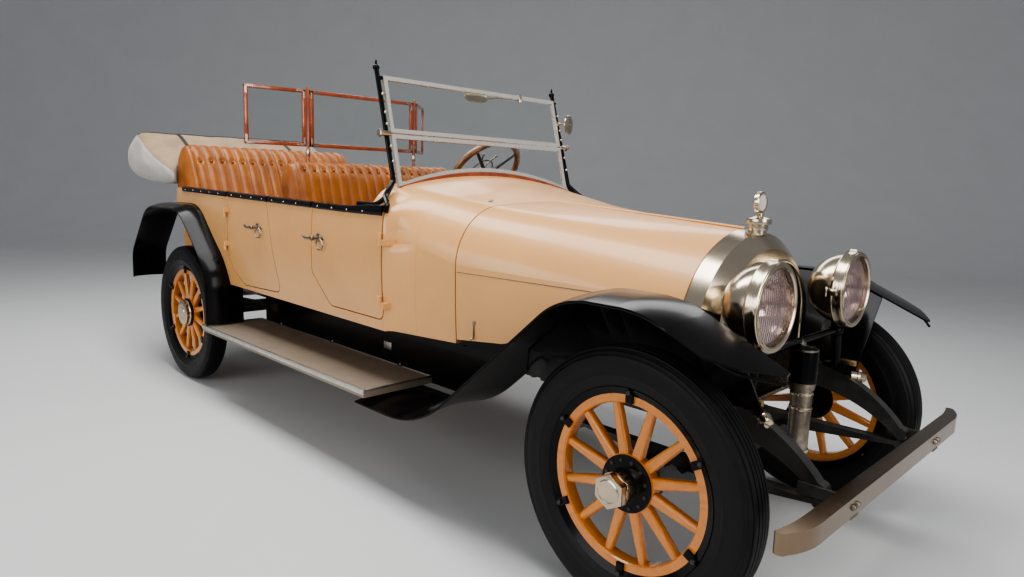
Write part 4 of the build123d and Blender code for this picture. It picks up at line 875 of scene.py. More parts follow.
def strip_from(points, width, thickness):
    """A flat strap along points, as wide as width across the car."""
    deselect()
    bpy.ops.mesh.primitive_grid_add(x_subdivisions=2, y_subdivisions=len(points) - 1, size=1)
    piece = bpy.context.object
    for index, vertex in enumerate(piece.data.vertices):
        column, row = index % 3, index // 3
        vertex.co = points[row] + Vector((0, 1, 0)) * (column - 1) * width / 2
    return apply_all(thicken(piece, thickness, offset=0))


lip = [car(-0.952, y, 1.9) for y in np.linspace(-0.70, 0.70, 41)]
rim_line = dropped_on(boot, lip, 0.001)
settle(line(rim_line, 0.006), "boot_binding", binding)
straps = []
for y in (-0.42, 0.42):
    run = [car(x, y, 1.9) for x in np.linspace(-0.50, -1.19, 26)]
    straps.append(strip_from(dropped_on(boot, run, 0.003), 0.026, 0.003))
settle(straps, "boot_straps", binding)
print("binding points", len(rim_line))

# %% [markdown]
# A black moulding caps the top of the body and doors. Its section is an upside-down L with a
# round shoulder, drawn along the belt line in one length for each door and each fixed panel,
# so that it moves with the door it belongs to. Nickel nails hold it.

# %% Belt moulding
belt_path = [(-0.16, 1.2716), (0.0, 1.272), (0.5, 1.2645), (1.0, 1.2565), (1.5, 1.249), (1.9, 1.243),
             (2.3, 1.243)]
capping_section = [(-0.006, -0.023), (0.004, -0.022), (0.008, -0.016), (0.008, -0.004), (0.003, 0.006),
                   (-0.006, 0.010), (-0.026, 0.009), (-0.033, 0.003), (-0.033, 0.0008), (-0.006, 0.0008)]


def belt_z(x):
    """Height of the belt line at x from the rear axle."""
    return float(np.interp(x, *zip(*belt_path)))


def drawn_along(points, side, section, rise):
    """A closed (out, up) section drawn along points; rise lifts its upper edge at each point."""
    ring = section + section[:1]
    deselect()
    bpy.ops.mesh.primitive_grid_add(x_subdivisions=len(ring) - 1, y_subdivisions=len(points) - 1, size=1)
    piece = bpy.context.object
    for index, vertex in enumerate(piece.data.vertices):
        column, row = index % len(ring), index // len(ring)
        out, up = ring[column]
        lift = rise[row] if up > -0.01 else 0
        vertex.co = points[row] + Vector((0, side * out, up + lift))
    return weld(piece, 0.0001, fill=True)


belt_parts = {"rear": ("body_tub", "chassis", -0.13, 0.585), "rear_door": ("door_rear", None, 0.607, 1.122),
              "pillar": ("body_tub", "chassis", 1.137, 1.618),
              "front_door": ("door_front", None, 1.632, 2.247)}
station_step = 0.05
climb_start, climb_length, climb_height = 1.90, 0.30, 0.015
nail_pitch, nail_radius = 0.135, 0.0042
for side, tag in both_sides:
    for name, (node, body, x0, x1) in belt_parts.items():
        node = node if body else f"{node}_{tag}"
        body = body or node
        stations = np.linspace(x0, x1, int((x1 - x0) / station_step))
        seen = [(x, skin_y(node, x, belt_z(x) - 0.02, side)) for x in stations]
        skins = np.interp(stations, *zip(*[(x, y) for x, y in seen if y]))
        points = [car(x, side * s, belt_z(x)) for x, s in zip(stations, skins)]
        climb = np.clip((stations - climb_start) / climb_length, 0, 1)
        rise = climb_height * climb * climb * (3 - 2 * climb)
        cap = drawn_along(points, side, capping_section, rise)
        settle(cap, f"belt_{name}_{tag}", black, body)
        nails = [ball(car(x, side * (np.interp(x, stations, skins) + 0.0075), belt_z(x) - 0.009),
                      nail_radius, 10, 6) for x in np.arange(x0 + 0.06, x1 - 0.03, nail_pitch)]
        settle(nails, f"belt_nails_{name}_{tag}", nickel, body)
print("belt done")

# %% [markdown]
# Each door has a nickel lever on a round plate, with a ring hanging behind it. It is modelled
# once for the right front door and copied by a matrix to the others, since the four are the
# same casting.

# %% Door handles


def handle_set():
    """Handle at the origin: the door skin is the plane y = 0 and the car's outside is -y."""
    plate = turned([(0.0, 0.0), (0.022, 0.0), (0.022, 0.003), (0.017, 0.006), (0.0, 0.006)],
                   (0, 0, 0), (0, -1, 0), steps=28)
    spindle = bar((0, 0, 0), (0, -0.034, 0), 0.0075, sides=16)
    lever = line([(0.012, -0.034, 0.002), (-0.012, -0.038, 0.0), (-0.045, -0.040, -0.004),
                  (-0.078, -0.037, -0.001), (-0.096, -0.032, 0.006)], 0.0068)
    boss = bar((0, -0.026, 0), (0, -0.045, 0), 0.0125, edge=0.002, sides=20)
    deselect()
    bpy.ops.mesh.primitive_torus_add(major_radius=0.026, minor_radius=0.0038, major_segments=32,
                                     minor_segments=8, location=(0.044, -0.022, -0.030),
                                     rotation=(pi / 2, 0, radians(8)))
    ring = apply_all(bpy.context.object)
    staple = line([(0.040, 0.0, -0.002), (0.042, -0.017, -0.002), (0.044, -0.022, -0.006)], 0.0042)
    eye = turned([(0.0, 0.0), (0.012, 0.0), (0.011, 0.003), (0.0, 0.004)], (0.040, 0, -0.002), (0, -1, 0),
                 steps=20)
    return join([plate, spindle, lever, boss, ring, staple, eye])


one_handle = handle_set()
for end, x, z in (("front", 1.700, 1.082), ("rear", 1.020, 1.088)):
    for side, tag in both_sides:
        node = f"door_{end}_{tag}"
        y = skin_y(node, x, z, side)
        move = Matrix.Translation(car(x, side * y, z))
        if side > 0:
            move = move @ mirror_y
        settle(copied(one_handle, move), f"handle_{end}_{tag}", dark_nickel, node)
bpy.data.objects.remove(one_handle)

# %% [markdown]
# The CAD tyre is a smooth ring. The real one has five ribs that run round its tread and fine
# rings on its shoulders, so the whole tyre is turned again from a finer profile of the same
# width and radius.

# %% Tyres
rib_count, rib_pitch, rib_width, first_rib = 5, 0.0176, 0.0136, -0.0430
groove_depth = 0.0048


def tyre_profile():
    """(radius, across) points round the tyre's section, from one bead over the tread."""
    side = [(0.3175, 0.046), (0.3260, 0.0525), (0.3300, 0.0535), (0.3340, 0.0560), (0.3360, 0.0568),
            (0.3520, 0.0605), (0.3540, 0.0617), (0.3560, 0.0610), (0.3800, 0.0634), (0.4000, 0.0630),
            (0.4140, 0.0600), (0.4155, 0.0610), (0.4175, 0.0590), (0.4270, 0.0545), (0.4285, 0.0552),
            (0.4305, 0.0530), (0.4380, 0.0480)]

    def crown(a):
        """The tread's radius, a to the side of its middle."""
        return 0.4468 - 0.0052 * (a / 0.045) ** 2

    tread = []
    for rib in range(rib_count):
        first = first_rib + rib * rib_pitch
        last = first + rib_width
        middle = (first + last) / 2
        tread += [(crown(first) - groove_depth, first - 0.0004), (crown(first), first + 0.0004),
                  (crown(middle), middle), (crown(last), last - 0.0004),
                  (crown(last) - groove_depth, last + 0.0004)]
    return [(r, -a) for r, a in side] + tread + side[::-1]


tyre = turned(tyre_profile(), (0, 0, 0), (0, 1, 0), steps=112)
hub_places = {f"{end}_{side}": Vector((axle_x, out * track / 2, tyre_radius))
              for end, axle_x in (("front", rear_axle_x + wheelbase), ("rear", rear_axle_x))
              for side, out in (("left", 1), ("right", -1))}
for tag, centre in hub_places.items():
    again = settle(copied(tyre, Matrix.Translation(centre)), "ribbed_tyre_" + tag, rubber, "wheel_" + tag,
                   smooth=28)
    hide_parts("tyre_" + tag)
print("tyres", len(tyre.data.polygons), "faces each")
bpy.data.objects.remove(tyre)

# %% [markdown]
# The front hubs end in a long nickel cap with six flats, the rear ones in a shallow round cap.
# Bolts ring the flanges, and six nuts hold the demountable rim to the felloe. They are made
# for a left wheel and mirrored for the right.

# %% Wheel hardware


def front_cap():
    """A long cap with six flats, on the axle y with the hub's middle at the origin."""
    barrel = turned([(0.0, 0.046), (0.0510, 0.046), (0.0510, 0.088), (0.054, 0.090), (0.0555, 0.094),
                     (0.054, 0.098), (0.0, 0.098)], (0, 0, 0), (0, 1, 0), steps=40)
    flats = bar((0, 0.096, 0), (0, 0.1268, 0), 0.0590, edge=0.0035, sides=6)
    boss = turned([(0.0, 0.126), (0.040, 0.126), (0.040, 0.1290), (0.036, 0.1312), (0.030, 0.1290),
                   (0.0, 0.1290)], (0, 0, 0), (0, 1, 0), steps=40)
    return join([barrel, flats, boss])


def rear_cap():
    """A shallow round cap with a raised middle, placed like the front one."""
    return turned([(0.0, 0.040), (0.0845, 0.040), (0.0865, 0.044), (0.0845, 0.048), (0.0820, 0.050),
                   (0.0815, 0.0668), (0.0760, 0.0695), (0.045, 0.0712), (0.040, 0.0705), (0.036, 0.0738),
                   (0.0, 0.0745)], (0, 0, 0), (0, 1, 0), steps=56)


def bolt_ring(count, radius, along, size, phase=0.5, height=0.006):
    """Six-sided heads in a circle round the origin, standing on the plane y = along."""
    made = []
    for number in range(count):
        angle = 2 * pi * (number + phase) / count
        x, z = radius * sin(angle), radius * cos(angle)
        made.append(bar((x, along - 0.004, z), (x, along + height, z), size, edge=size * 0.15, sides=6))
    return join(made)


caps = {"front": front_cap(), "rear": rear_cap()}
bolts = {}
for end, flange_radius, head in (("front", 0.078, 0.0062), ("rear", 0.0905, 0.0036)):
    flange_bolts = bolt_ring(12, flange_radius, 0.035, head)
    rim_nuts = bolt_ring(6, 0.303, 0.045, 0.0085, phase=0.0, height=0.008)
    bolts[end] = join([flange_bolts, rim_nuts])
stem = bar((0.079, 0.004, -0.262), (0.086, 0.004, -0.293), 0.0045, edge=0.001, sides=12)
for tag, centre in hub_places.items():
    place = Matrix.Translation(centre) @ (mirror_y if tag.endswith("right") else Matrix())
    end = tag.split("_")[0]
    wheel = "wheel_" + tag
    settle(copied(caps[end], place), "hub_cap_" + tag, nickel, wheel, smooth=30)
    settle(copied(bolts[end], place), "wheel_bolts_" + tag, chassis_black, wheel, smooth=30)
    settle(copied(stem, place), "valve_" + tag, nickel, wheel)
for piece in (*caps.values(), *bolts.values(), stem):
    bpy.data.objects.remove(piece)
print("wheel hardware", len(hub_places))

# %% [markdown]
# A pressed fender is finished with a wire rolled into its edge. The wire follows the same
# path as the fender: straight runs joined by arcs, worked out from the corners and the radius
# at each.

# %% Rolled fender edges
arc_steps = 12


def rounded_path(corners, radii, y, lift):
    """Points of straight runs joined by arcs, in the plane at y."""
    corners = [Vector(c) for c in corners]
    points = [corners[0]]
    for (a, b, c), radius in zip(zip(corners, corners[1:], corners[2:]), radii):
        before, after = (a - b).normalized(), (c - b).normalized()
        half = before.angle(after) / 2
        centre = b + (before + after).normalized() * radius / sin(half)
        first, last = (b + leg * radius * cos(half) / sin(half) - centre for leg in (before, after))
        turn = np.arctan2(first.cross(last), first.dot(last))
        for step in range(arc_steps + 1):
            points.append(centre + Matrix.Rotation(turn * step / arc_steps, 2) @ first)
    points.append(corners[-1])
    return [car(p.x, y, p.y + lift) for p in points]


front_path = [(2.190, 0.390), (2.640, 0.390), (3.375, 1.030), (3.690, 1.030), (4.052, 0.868)]
rear_path = [(-0.748, 0.610), (-0.742, 0.800), (-0.420, 1.140), (0.150, 1.152), (0.548, 0.800),
             (0.560, 0.462)]
nose_edge = [(3.930, 0.806, 0.912), (3.985, 0.782, 0.893), (4.030, 0.710, 0.872), (4.056, 0.664, 0.862)]
fender_out, wire_radius = 0.839, 0.0052
for side, tag in both_sides:
    front_edge = [p for p in rounded_path(front_path, [0.56, 0.30, 0.42], side * fender_out, -0.004)
                  if p.x - rear_axle_x < 3.86]
    front_edge += [car(x, side * y, z) for x, y, z in nose_edge]
    rear_edge = rounded_path(rear_path, [0.15, 0.26, 0.33, 0.30], side * fender_out, -0.004)
    wires = [line(edge, wire_radius, resolution=2, smooth=3) for edge in (front_edge, rear_edge)]
    settle(wires, f"fender_wires_{tag}", black)
print("fender wire points", len(front_edge))

# %% [markdown]
# The windshield's place is easiest to give in its own tilted plane: up the screen from its
# pivot, across the car, and square out of the glass. A red-brown wooden strip fills the gap
# between the arched lower frame and the scuttle.

# %% Windshield plane and wood strip
screen_pivot = car(2.091, 0, 1.587)
screen_up = (car(2.023, 0, 1.849) - screen_pivot).normalized()
screen_out = Vector((screen_up.z, 0, -screen_up.x))


strip_half_width, strip_half_depth = 0.578, 0.0085
strip_top, strip_low = -0.0005, -0.0225


def on_screen(up, y, out=0.0):
    """A point up the screen from its pivot, across the car, and square out of the glass."""
    return screen_pivot + screen_up * up + Vector((0, y, 0)) + screen_out * out


def in_screen(up, y, out=0.0):
    """The same for arrays, as a formed grid takes them."""
    return (screen_pivot.x + screen_up.x * up + screen_out.x * out, y,
            screen_pivot.z + screen_up.z * up + screen_out.z * out)


def screen_foot(y):
    """Height of the lower frame's arched edge, along the screen: an arc with a known sag."""
    sag, half = 0.087, 0.588
    radius = (half ** 2 + sag ** 2) / (2 * sag)
    return -0.163 - (radius - np.sqrt(radius ** 2 - y ** 2))


def strip_place(u, v):
    """A closed band round a 17 x 22 mm section, along the arch."""
    y = (v - 0.5) * 2 * strip_half_width
    turn = np.floor(u * 4 + 0.5).astype(int) % 4
    out = np.where((turn == 0) | (turn == 3), strip_half_depth, -strip_half_depth)
    drop = np.where(turn < 2, strip_top, strip_low)
    return in_screen(screen_foot(y) + drop, y, out)


settle(formed(4, 48, strip_place), "screen_wood_strip", screen_wood, smooth=25)
print("strip crown", tuple(round(c, 3) for c in on_screen(screen_foot(0), 0)))

# %% [markdown]
# Nickel studs, pivots and clamps dress the posts. Two mirrors belong to the screen: a round
# one on an arm from the left post, and an oval one that hangs under the top rail.

# %% Screen fittings and mirrors


bright, dark = [], []
for side in (-1, 1):
    for up in (0.185, 0.10, 0.045, -0.06, -0.13):
        stud = on_screen(up, side * 0.603, -0.006 if up > 0 else 0.0) + Vector((0.013, 0, 0))
        bright.append(ball(stud, 0.0075, 12, 8))
    bright.append(bar(on_screen(0, side * 0.586), on_screen(0, side * 0.640), 0.0125, edge=0.002, sides=20))
    bright.append(bar(on_screen(0, side * 0.640), on_screen(0, side * 0.652), 0.019, edge=0.003, sides=6))
    dark.append(bar(on_screen(0.262, side * 0.584, -0.004), on_screen(0.262, side * 0.612, -0.004), 0.009,
                    edge=0.002))
settle(bright, "screen_studs", nickel)
mirror_at = car(2.085, 0.668, 1.720)
face = Vector((-0.96, -0.28, 0)).normalized()
round_mirror = [turned([(0.0, -0.009), (0.030, -0.008), (0.050, -0.003), (0.0555, 0.0), (0.0555, 0.004),
                        (0.051, 0.005), (0.050, 0.003), (0.0, 0.003)], mirror_at, face, steps=40),
                line([on_screen(0.137, 0.612), on_screen(0.140, 0.635, 0.004), mirror_at - face * 0.010],
                     0.0048),
                bar(on_screen(0.137, 0.590), on_screen(0.137, 0.618), 0.011, edge=0.002)]
settle(round_mirror, "side_mirror", nickel)
oval = turned([(0.0, -0.007), (0.020, -0.006), (0.027, -0.001), (0.027, 0.002), (0.024, 0.003),
               (0.0, 0.003)], (0, 0, 0), (-1, 0, 0), steps=40)
oval.data.transform(Matrix.Translation(car(2.005, 0.012, 1.812)) @ Matrix.Rotation(radians(-8), 4, "Y")
                    @ Matrix.Diagonal((1, 3.0, 1, 1)))
arm = [line([car(2.008, 0.075, 1.812), car(2.012, 0.20, 1.826), on_screen(0.252, 0.315, -0.012)], 0.0042),
       bar(on_screen(0.236, 0.315), on_screen(0.276, 0.315), 0.012, edge=0.002, sides=8)]
settle([oval, *arm], "inside_mirror", nickel)
settle(dark, "screen_stops", black)
print("mirrors placed")

# %% [markdown]
# The scuttle's skin lies a little inside the door's. A cream fairing brings the two together
# over the door's whole height, and the black moulding sweeps over its top, up to the foot of
# the windshield post.

# %% Fairing ahead of the door and sweep of the moulding
door_front_x = 2.2585
fairing_length = 0.15
fairing_low, fairing_high = 0.7115, 1.32
clear_x = 2.345
leaf_heights, leaf_reach = (0.85, 1.19), 0.07
sweep_path = [(2.262, 0.733, 1.236), (2.264, 0.728, 1.2560), (2.256, 0.716, 1.272), (2.232, 0.706, 1.286),
              (2.196, 0.690, 1.304), (2.170, 0.650, 1.336), (2.152, 0.616, 1.368)]


def fairing(side, tag):
    found = [(z, skin_y(f"door_front_{tag}", 2.235, z, side)) for z in np.linspace(0.80, 1.236, 12)]
    door_heights, door_skin = zip(*[(z, y) for z, y in found if y])
    clear = [z for z in np.linspace(fairing_low, fairing_high, 40)
             if all(abs(z - leaf) > leaf_reach for leaf in leaf_heights)]

    def cowl_skin(x, z):
        """The scuttle's own skin. Beside the hinge leaves it is read ahead of them and shifted."""
        if x > clear_x:
            return skin_y("cowl", x, z, side)
        shift = [skin_y("cowl", x, level, side) - skin_y("cowl", clear_x, level, side) for level in clear]
        return skin_y("cowl", clear_x, z, side) + np.interp(z, clear, shift)

    def place(u, v):
        points = []
        for a, b in zip(u, v):
            x, height = door_front_x + fairing_length * a, fairing_low + (fairing_high - fairing_low) * b
            level = min(height, 1.2465)
            step = np.interp(level, door_heights, door_skin) - cowl_skin(door_front_x, level)
            fade = min(max((fairing_high - height) / 0.11, 0), 1)
            out = cowl_skin(x, height) + step * (1 - a) ** 2 * fade * fade * (3 - 2 * fade) + 0.0007
            points.append((x + rear_axle_x, side * out, height))
        return np.array(points).T

    panel = sheet(9, 26, place, (0, side, 0), 0.004)
    return settle(panel, f"door_fairing_{tag}", cream, smooth=50)


for side, tag in both_sides:
    fairing(side, tag)
    moulding = line([car(x, side * y, z) for x, y, z in sweep_path], 0.0125)
    settle(moulding, f"scuttle_moulding_{tag}", black)
print("fairings done")

# %% [markdown]
# Each headlamp gets a broad door ring with a bead, a silvered reflector with a bulb, and a
# lens pressed with vertical flutes. The lens is a grid laid on a disc, its face waved from
# side to side.

# %% Headlamps
lamp_centre = car(3.867, 0.344, 1.014)
lens_radius, flute_pitch = 0.1298, 0.0132
silver = finish("silvered_reflector", (0.86, 0.85, 0.83), (0.8, 0.79, 0.76), scale=8.0, rough=(0.06, 0.14),
                bump=0.0, Metallic=1.0)


def lens_place(u, v):
    """A disc across y and z, its front waved into flutes and slightly domed."""
    y = (u - 0.5) * 2 * (lens_radius - 0.0003)
    chord = np.sqrt(np.clip(lens_radius ** 2 - y ** 2, 1e-8, None))
    z = (v - 0.5) * 2 * chord
    dome = 0.010 * (1 - (y ** 2 + z ** 2) / 0.13 ** 2)
    flutes = 0.0028 * np.abs(np.sin(pi * y / flute_pitch))
    return (lamp_centre.x - 0.009 + dome - flutes, lamp_centre.y + y, lamp_centre.z + z)


lens = apply_all(sheet(176, 14, lens_place, (1, 0, 0), 0.0035))
both_lenses = settle(pair(lens), "fluted_lenses", lens_glass, smooth=60)
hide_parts("headlamp_lenses")
ring = turned([(0.1275, -0.006), (0.1275, 0.004), (0.132, 0.0085), (0.137, 0.0085), (0.139, 0.005),
               (0.144, 0.006), (0.1495, 0.002), (0.1510, -0.004), (0.1500, -0.010), (0.1510, -0.030),
               (0.1525, -0.033), (0.1510, -0.036), (0.1470, -0.037), (0.1460, -0.006)], lamp_centre,
              (1, 0, 0), steps=72)
reflector = turned([(0.1270, -0.012), (0.1268, -0.020), (0.112, -0.052), (0.092, -0.082), (0.064, -0.110),
                    (0.034, -0.126), (0.016, -0.130), (0.016, -0.132), (0.036, -0.129), (0.067, -0.113),
                    (0.095, -0.085), (0.115, -0.054), (0.1290, -0.020), (0.1290, -0.012)], lamp_centre,
                   (1, 0, 0))
bulb = turned([(0.0, -0.040), (0.010, -0.044), (0.0155, -0.055), (0.0155, -0.066), (0.009, -0.080),
               (0.012, -0.084), (0.012, -0.128), (0.0, -0.128)], lamp_centre, (1, 0, 0), steps=24)


def by_lamp(x, y, z):
    """A point measured from the left lamp's centre."""
    return lamp_centre + Vector((x, y, z))


clasp = [slab(by_lamp(-0.052, -0.158, -0.013), by_lamp(-0.012, -0.148, 0.013), 0.002),
         bar(by_lamp(-0.052, -0.156, -0.018), by_lamp(-0.052, -0.156, 0.018), 0.005, edge=0.001)]
hinge_top = bar(by_lamp(-0.034, 0, 0.150), by_lamp(-0.006, 0, 0.150), 0.007, edge=0.002)
settle(pair(join([ring, *clasp, hinge_top])), "lamp_doors", nickel, smooth=30)
settle(pair(reflector), "reflectors", silver, smooth=60)
settle(pair(bulb), "bulbs", dial_white, smooth=60)
print("lamp trim", len(both_lenses.data.polygons), "lens faces")

# %% [markdown]
# The radiator's opening has a rolled bead, and its core is a honeycomb. One thin six-sided
# cell is repeated by two array modifiers in two staggered sets, and a ray cast at each tube
# finds those that the opening doesn't show, which are taken out. The shell's front keeps a
# plain surface.

# %% Radiator bead and core


def arc_through(a, b, c):
    """Points on the circle through three points of a plane, from a to c."""
    a, b, c = (Vector(p) for p in (a, b, c))
    d = 2 * (a.x * (b.y - c.y) + b.x * (c.y - a.y) + c.x * (a.y - b.y))
    x = (a.dot(a) * (b.y - c.y) + b.dot(b) * (c.y - a.y) + c.dot(c) * (a.y - b.y)) / d
    y = (a.dot(a) * (c.x - b.x) + b.dot(b) * (a.x - c.x) + c.dot(c) * (b.x - a.x)) / d
    centre = Vector((x, y))
    first, last = a - centre, c - centre
    turn = np.arctan2(first.cross(last), first.dot(last))
    return [centre + Matrix.Rotation(turn * step / arc_steps, 2) @ first for step in range(arc_steps + 1)]


half_opening = [Vector(p) for p in ((0.0, 0.600), (0.262, 0.600), (0.300, 0.640), (0.300, 0.770))]
half_opening += arc_through((0.300, 0.900), (0.262, 1.035), (0.205, 1.085))
half_opening += arc_through((0.205, 1.085), (0.105, 1.120), (0.0, 1.098))[1:]
opening = half_opening + [Vector((-p.x, p.y)) for p in half_opening[-2:0:-1]]
bead_x = 3.6785 + rear_axle_x
bead = line([(bead_x, p.x, p.y) for p in opening], 0.0085, order=2, closed=True)
settle(bead, "radiator_bead", nickel, smooth=60)
root_three = 1.732


def honeycomb(columns, rows, pitch, shift_y, shift_z):
    """A set of six-sided tubes on a rectangular lattice, open towards the front."""
    deselect()
    bpy.ops.mesh.primitive_cylinder_add(vertices=6, radius=pitch * 0.55, depth=0.010,
                                        rotation=(0, pi / 2, 0), end_fill_type="NOTHING",
                                        location=car(3.649, -0.300 + shift_y, 0.605 + shift_z))
    cell = thicken(apply_all(bpy.context.object), 0.0011)
    for name, count, step in (("row", columns, (0, pitch * root_three, 0)), ("stack", rows, (0, 0, pitch))):
        repeat = cell.modifiers.new(name, "ARRAY")
        repeat.count = count
        repeat.use_relative_offset = False
        repeat.use_constant_offset = True
        repeat.constant_offset_displace = step
    return apply_all(cell)


tube_pitch = 0.0155
tube_faces = 24
core_front = join([honeycomb(23, 33, tube_pitch, 0, 0),
                   honeycomb(22, 33, tube_pitch, tube_pitch * root_three / 2, tube_pitch / 2)])
centres = np.array([face.center for face in core_front.data.polygons])
back = Vector((-1, 0, 0))
in_opening = []
for x, y, z in centres.reshape(-1, tube_faces, 3).mean(axis=1):
    start = car(4.2, y, z)
    in_opening.append(nodes["radiator_core"].ray_cast(start, back)[0]
                      and not nodes["radiator_shell"].ray_cast(start, back)[0])
select_faces(core_front, lambda face: not in_opening[face.index // tube_faces])
bpy.ops.mesh.delete(type="FACE")
bpy.ops.object.mode_set(mode="OBJECT")
print("tubes", sum(in_opening), "of", len(in_opening))
settle(core_front, "honeycomb_core", core_metal, smooth=20)
print("honeycomb", len(core_front.data.polygons), "faces")

# %% [markdown]
# The gauge on the filler cap has a plain dial behind a ring on both of its faces. The horn
# hangs below the lamps; its motor gets a black cover and its trumpet three bright collars.

# %% Gauge and horn
gauge = car(3.617, 0, 1.340)
rims = [turned([(0.030, 0.005), (0.0305, 0.009), (0.036, 0.011), (0.0405, 0.008), (0.0415, 0.0),
                (0.0405, -0.008), (0.036, -0.011), (0.0305, -0.009), (0.030, -0.005)], gauge, (1, 0, 0),
               steps=44),
        turned([(0.0, -0.040), (0.034, -0.040), (0.035, -0.036), (0.035, -0.020), (0.0445, -0.018),
                (0.0455, -0.012), (0.0455, -0.002), (0.044, 0.002), (0.030, 0.007), (0.018, 0.010),
                (0.014, 0.022), (0.0, 0.022)], (gauge.x, 0, 1.279), (0, 0, 1), steps=36)]
settle(rims, "gauge_rim", nickel)
half_dial = Vector((0.0078, 0, 0))
settle(bar(gauge - half_dial, gauge + half_dial, 0.031, sides=40), "gauge_dial", dial_white)
horn_x = 3.836 + rear_axle_x
upper = turned([(0.0, 0.0), (0.0475, 0.0), (0.0485, 0.004), (0.0475, 0.010), (0.0475, 0.112),
                (0.044, 0.126), (0.030, 0.136), (0.0, 0.140)], (horn_x, 0, 0.702), (0, 0, 1), steps=40)
settle(upper, "horn_motor_cover", black, smooth=30)
collars = [turned([(0.036, 0.0), (0.0405, 0.0), (0.0415, 0.006), (0.0405, 0.012), (0.036, 0.012)],
                  (horn_x, 0, z), (0, 0, 1), steps=36) for z in (0.440, 0.600, 0.655)]
settle(collars, "horn_collars", nickel, smooth=30)
print("gauge and horn done")

# %% [markdown]
# The hood's halves meet in a long hinge on the crown, and each side shows the thin line of a
# second hinge where its top folds: a dark bead, its darkness painted shade of the hinge's gap.
# A latch holds each side down at the rear.

# %% Hood hinges and latches
crown = bar(car(2.622, 0, 1.3015), car(3.563, 0, 1.2415), 0.0050, sides=12)
settle(crown, "hood_crown_hinge", cream)
latch_x = 2.715
for side, tag in both_sides:
    hood = f"hood_{tag}"
    run = [(x, np.interp(x, [2.63, 3.55], [1.010, 0.984])) for x in np.linspace(2.632, 3.555, 16)]
    # The fold is a thin dark bead on the skin: partly the hinge itself, and its dark colour is painted
    # shadow of the gap along the hinge.
    fold = [car(x, side * (skin_y(hood, x, z, side) + 0.0002), z) for x, z in run]
    settle(line(fold, 0.0017, resolution=1), f"hood_fold_{tag}", dark_nickel, hood)
    y = skin_y(hood, latch_x, 0.765, side)
    stem_y, knob_y = side * (y + 0.004), side * (y + 0.020)
    latch = [bar(car(latch_x, stem_y, 0.740), car(latch_x, stem_y, 0.812), 0.0035, edge=0.001),
             slab(car(latch_x - 0.009, side * y - 0.004, 0.800),
                  car(latch_x + 0.009, side * y + 0.004, 0.815), 0.0015),
             bar(car(latch_x, side * (y + 0.003), 0.745), car(latch_x, knob_y, 0.738), 0.0045, edge=0.001)]
    settle(latch, f"hood_latch_{tag}", dark_nickel, hood)
print("hood trim done")

# %% [markdown]
# The running boards are linoleum with a bright angle round their edges. The aprons carry one
# small bare plate on the near side, and brackets where they bolt to the boards.

# %% Running boards and aprons
board_back, board_front, board_in, board_out = 0.498, 2.268, 0.4625, 0.8475
edge_low, edge_top = 0.4535, 0.4582


def beside(side, x0, x1, y0, y1, z0, z1, edge):
    """A slab whose y0 and y1 are measured outwards on either side of the car."""
    low, high = sorted((side * y0, side * y1))
    return slab(car(x0, low, z0), car(x1, high, z1), edge)


for side, tag in both_sides:
    edging = [beside(side, x0, x1, y0, y1, edge_low, edge_top, 0.001)
              for x0, x1, y0, y1 in ((board_back, board_front, 0.8385, board_out),
                                     (board_back, board_front, board_in, 0.4700),
                                     (board_back, board_back + 0.009, board_in, board_out),
                                     (board_front - 0.009, board_front, board_in, board_out))]
    edging.append(beside(side, board_back, board_front, 0.8445, 0.8480, 0.4350, edge_top, 0.001))
    settle(edging, f"board_edging_{tag}", aluminium)
    feet = []
    for x in (0.78, 1.38, 2.02):
        feet.append(beside(side, x - 0.018, x + 0.018, 0.4595, 0.478, 0.456, 0.462, 0.0015))
        y = side * 0.4685
        feet.append(bar(car(x, y, 0.460), car(x, y, 0.470), 0.006, edge=0.001, sides=6))
    settle(feet, f"apron_feet_{tag}", dark_nickel)
settle(beside(-1, 1.870, 1.935, 0.4605, 0.4640, 0.520, 0.556, 0.001), "apron_plate", aluminium)
print("boards done")

# %% [markdown]
# The bumper is held by two clamps with round-headed bolts. On each side of the horn are the
# acorn nut of a spring's front bolt and a bar end of bright brass.

# %% Bumper bolts and small front fittings
small = []
for y in (-0.41, 0.41):
    small.append(slab(car(4.130, y - 0.030, 0.440), car(4.190, y + 0.030, 0.4465), 0.002))
    for dy in (-0.016, 0.016):
        small.append(ball(car(4.1885, y + dy, 0.477), 0.0105, 14, 8))
        small.append(bar(car(4.16, y + dy, 0.443), car(4.16, y + dy, 0.424), 0.007, edge=0.0015, sides=6))
settle(small, "bumper_bolts", dark_nickel)
acorn = turned([(0.0, -0.030), (0.016, -0.030), (0.022, -0.026), (0.022, -0.004), (0.025, -0.002),
                (0.025, 0.006), (0.022, 0.010), (0.021, 0.024), (0.015, 0.036), (0.0, 0.041)],
               car(3.885, -0.402, 0.660), (0.75, -0.62, -0.1), steps=28)
link = slab(car(3.790, -0.416, 0.700), car(3.880, -0.398, 0.722), 0.003)
settle(pair(acorn), "spring_acorns", nickel)
settle(pair(link), "bright_links", brass)
print("front fittings done")

# %% [markdown]
# The steering wheel's wooden rim is a torus in the tilted plane of the column, on four dark
# spokes. The spark and throttle levers lie on a quadrant above it and don't turn with it.

# %% Steering wheel
wheel_at = car(1.730, 0.338, 1.430)
tilt = radians(39.5)
column = Vector((cos(tilt), 0, -sin(tilt)))
side_way, up_way = Vector((0, 1, 0)), Vector((sin(tilt), 0, cos(tilt)))
deselect()
bpy.ops.mesh.primitive_torus_add(major_radius=0.2265, minor_radius=0.0185, major_segments=72,
                                 minor_segments=14, location=wheel_at,
                                 rotation=column.to_track_quat("Z", "Y").to_euler())
rim = settle(bpy.context.object, "steering_rim", rim_wood, "steering_wheel")
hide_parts("steering_wheel")


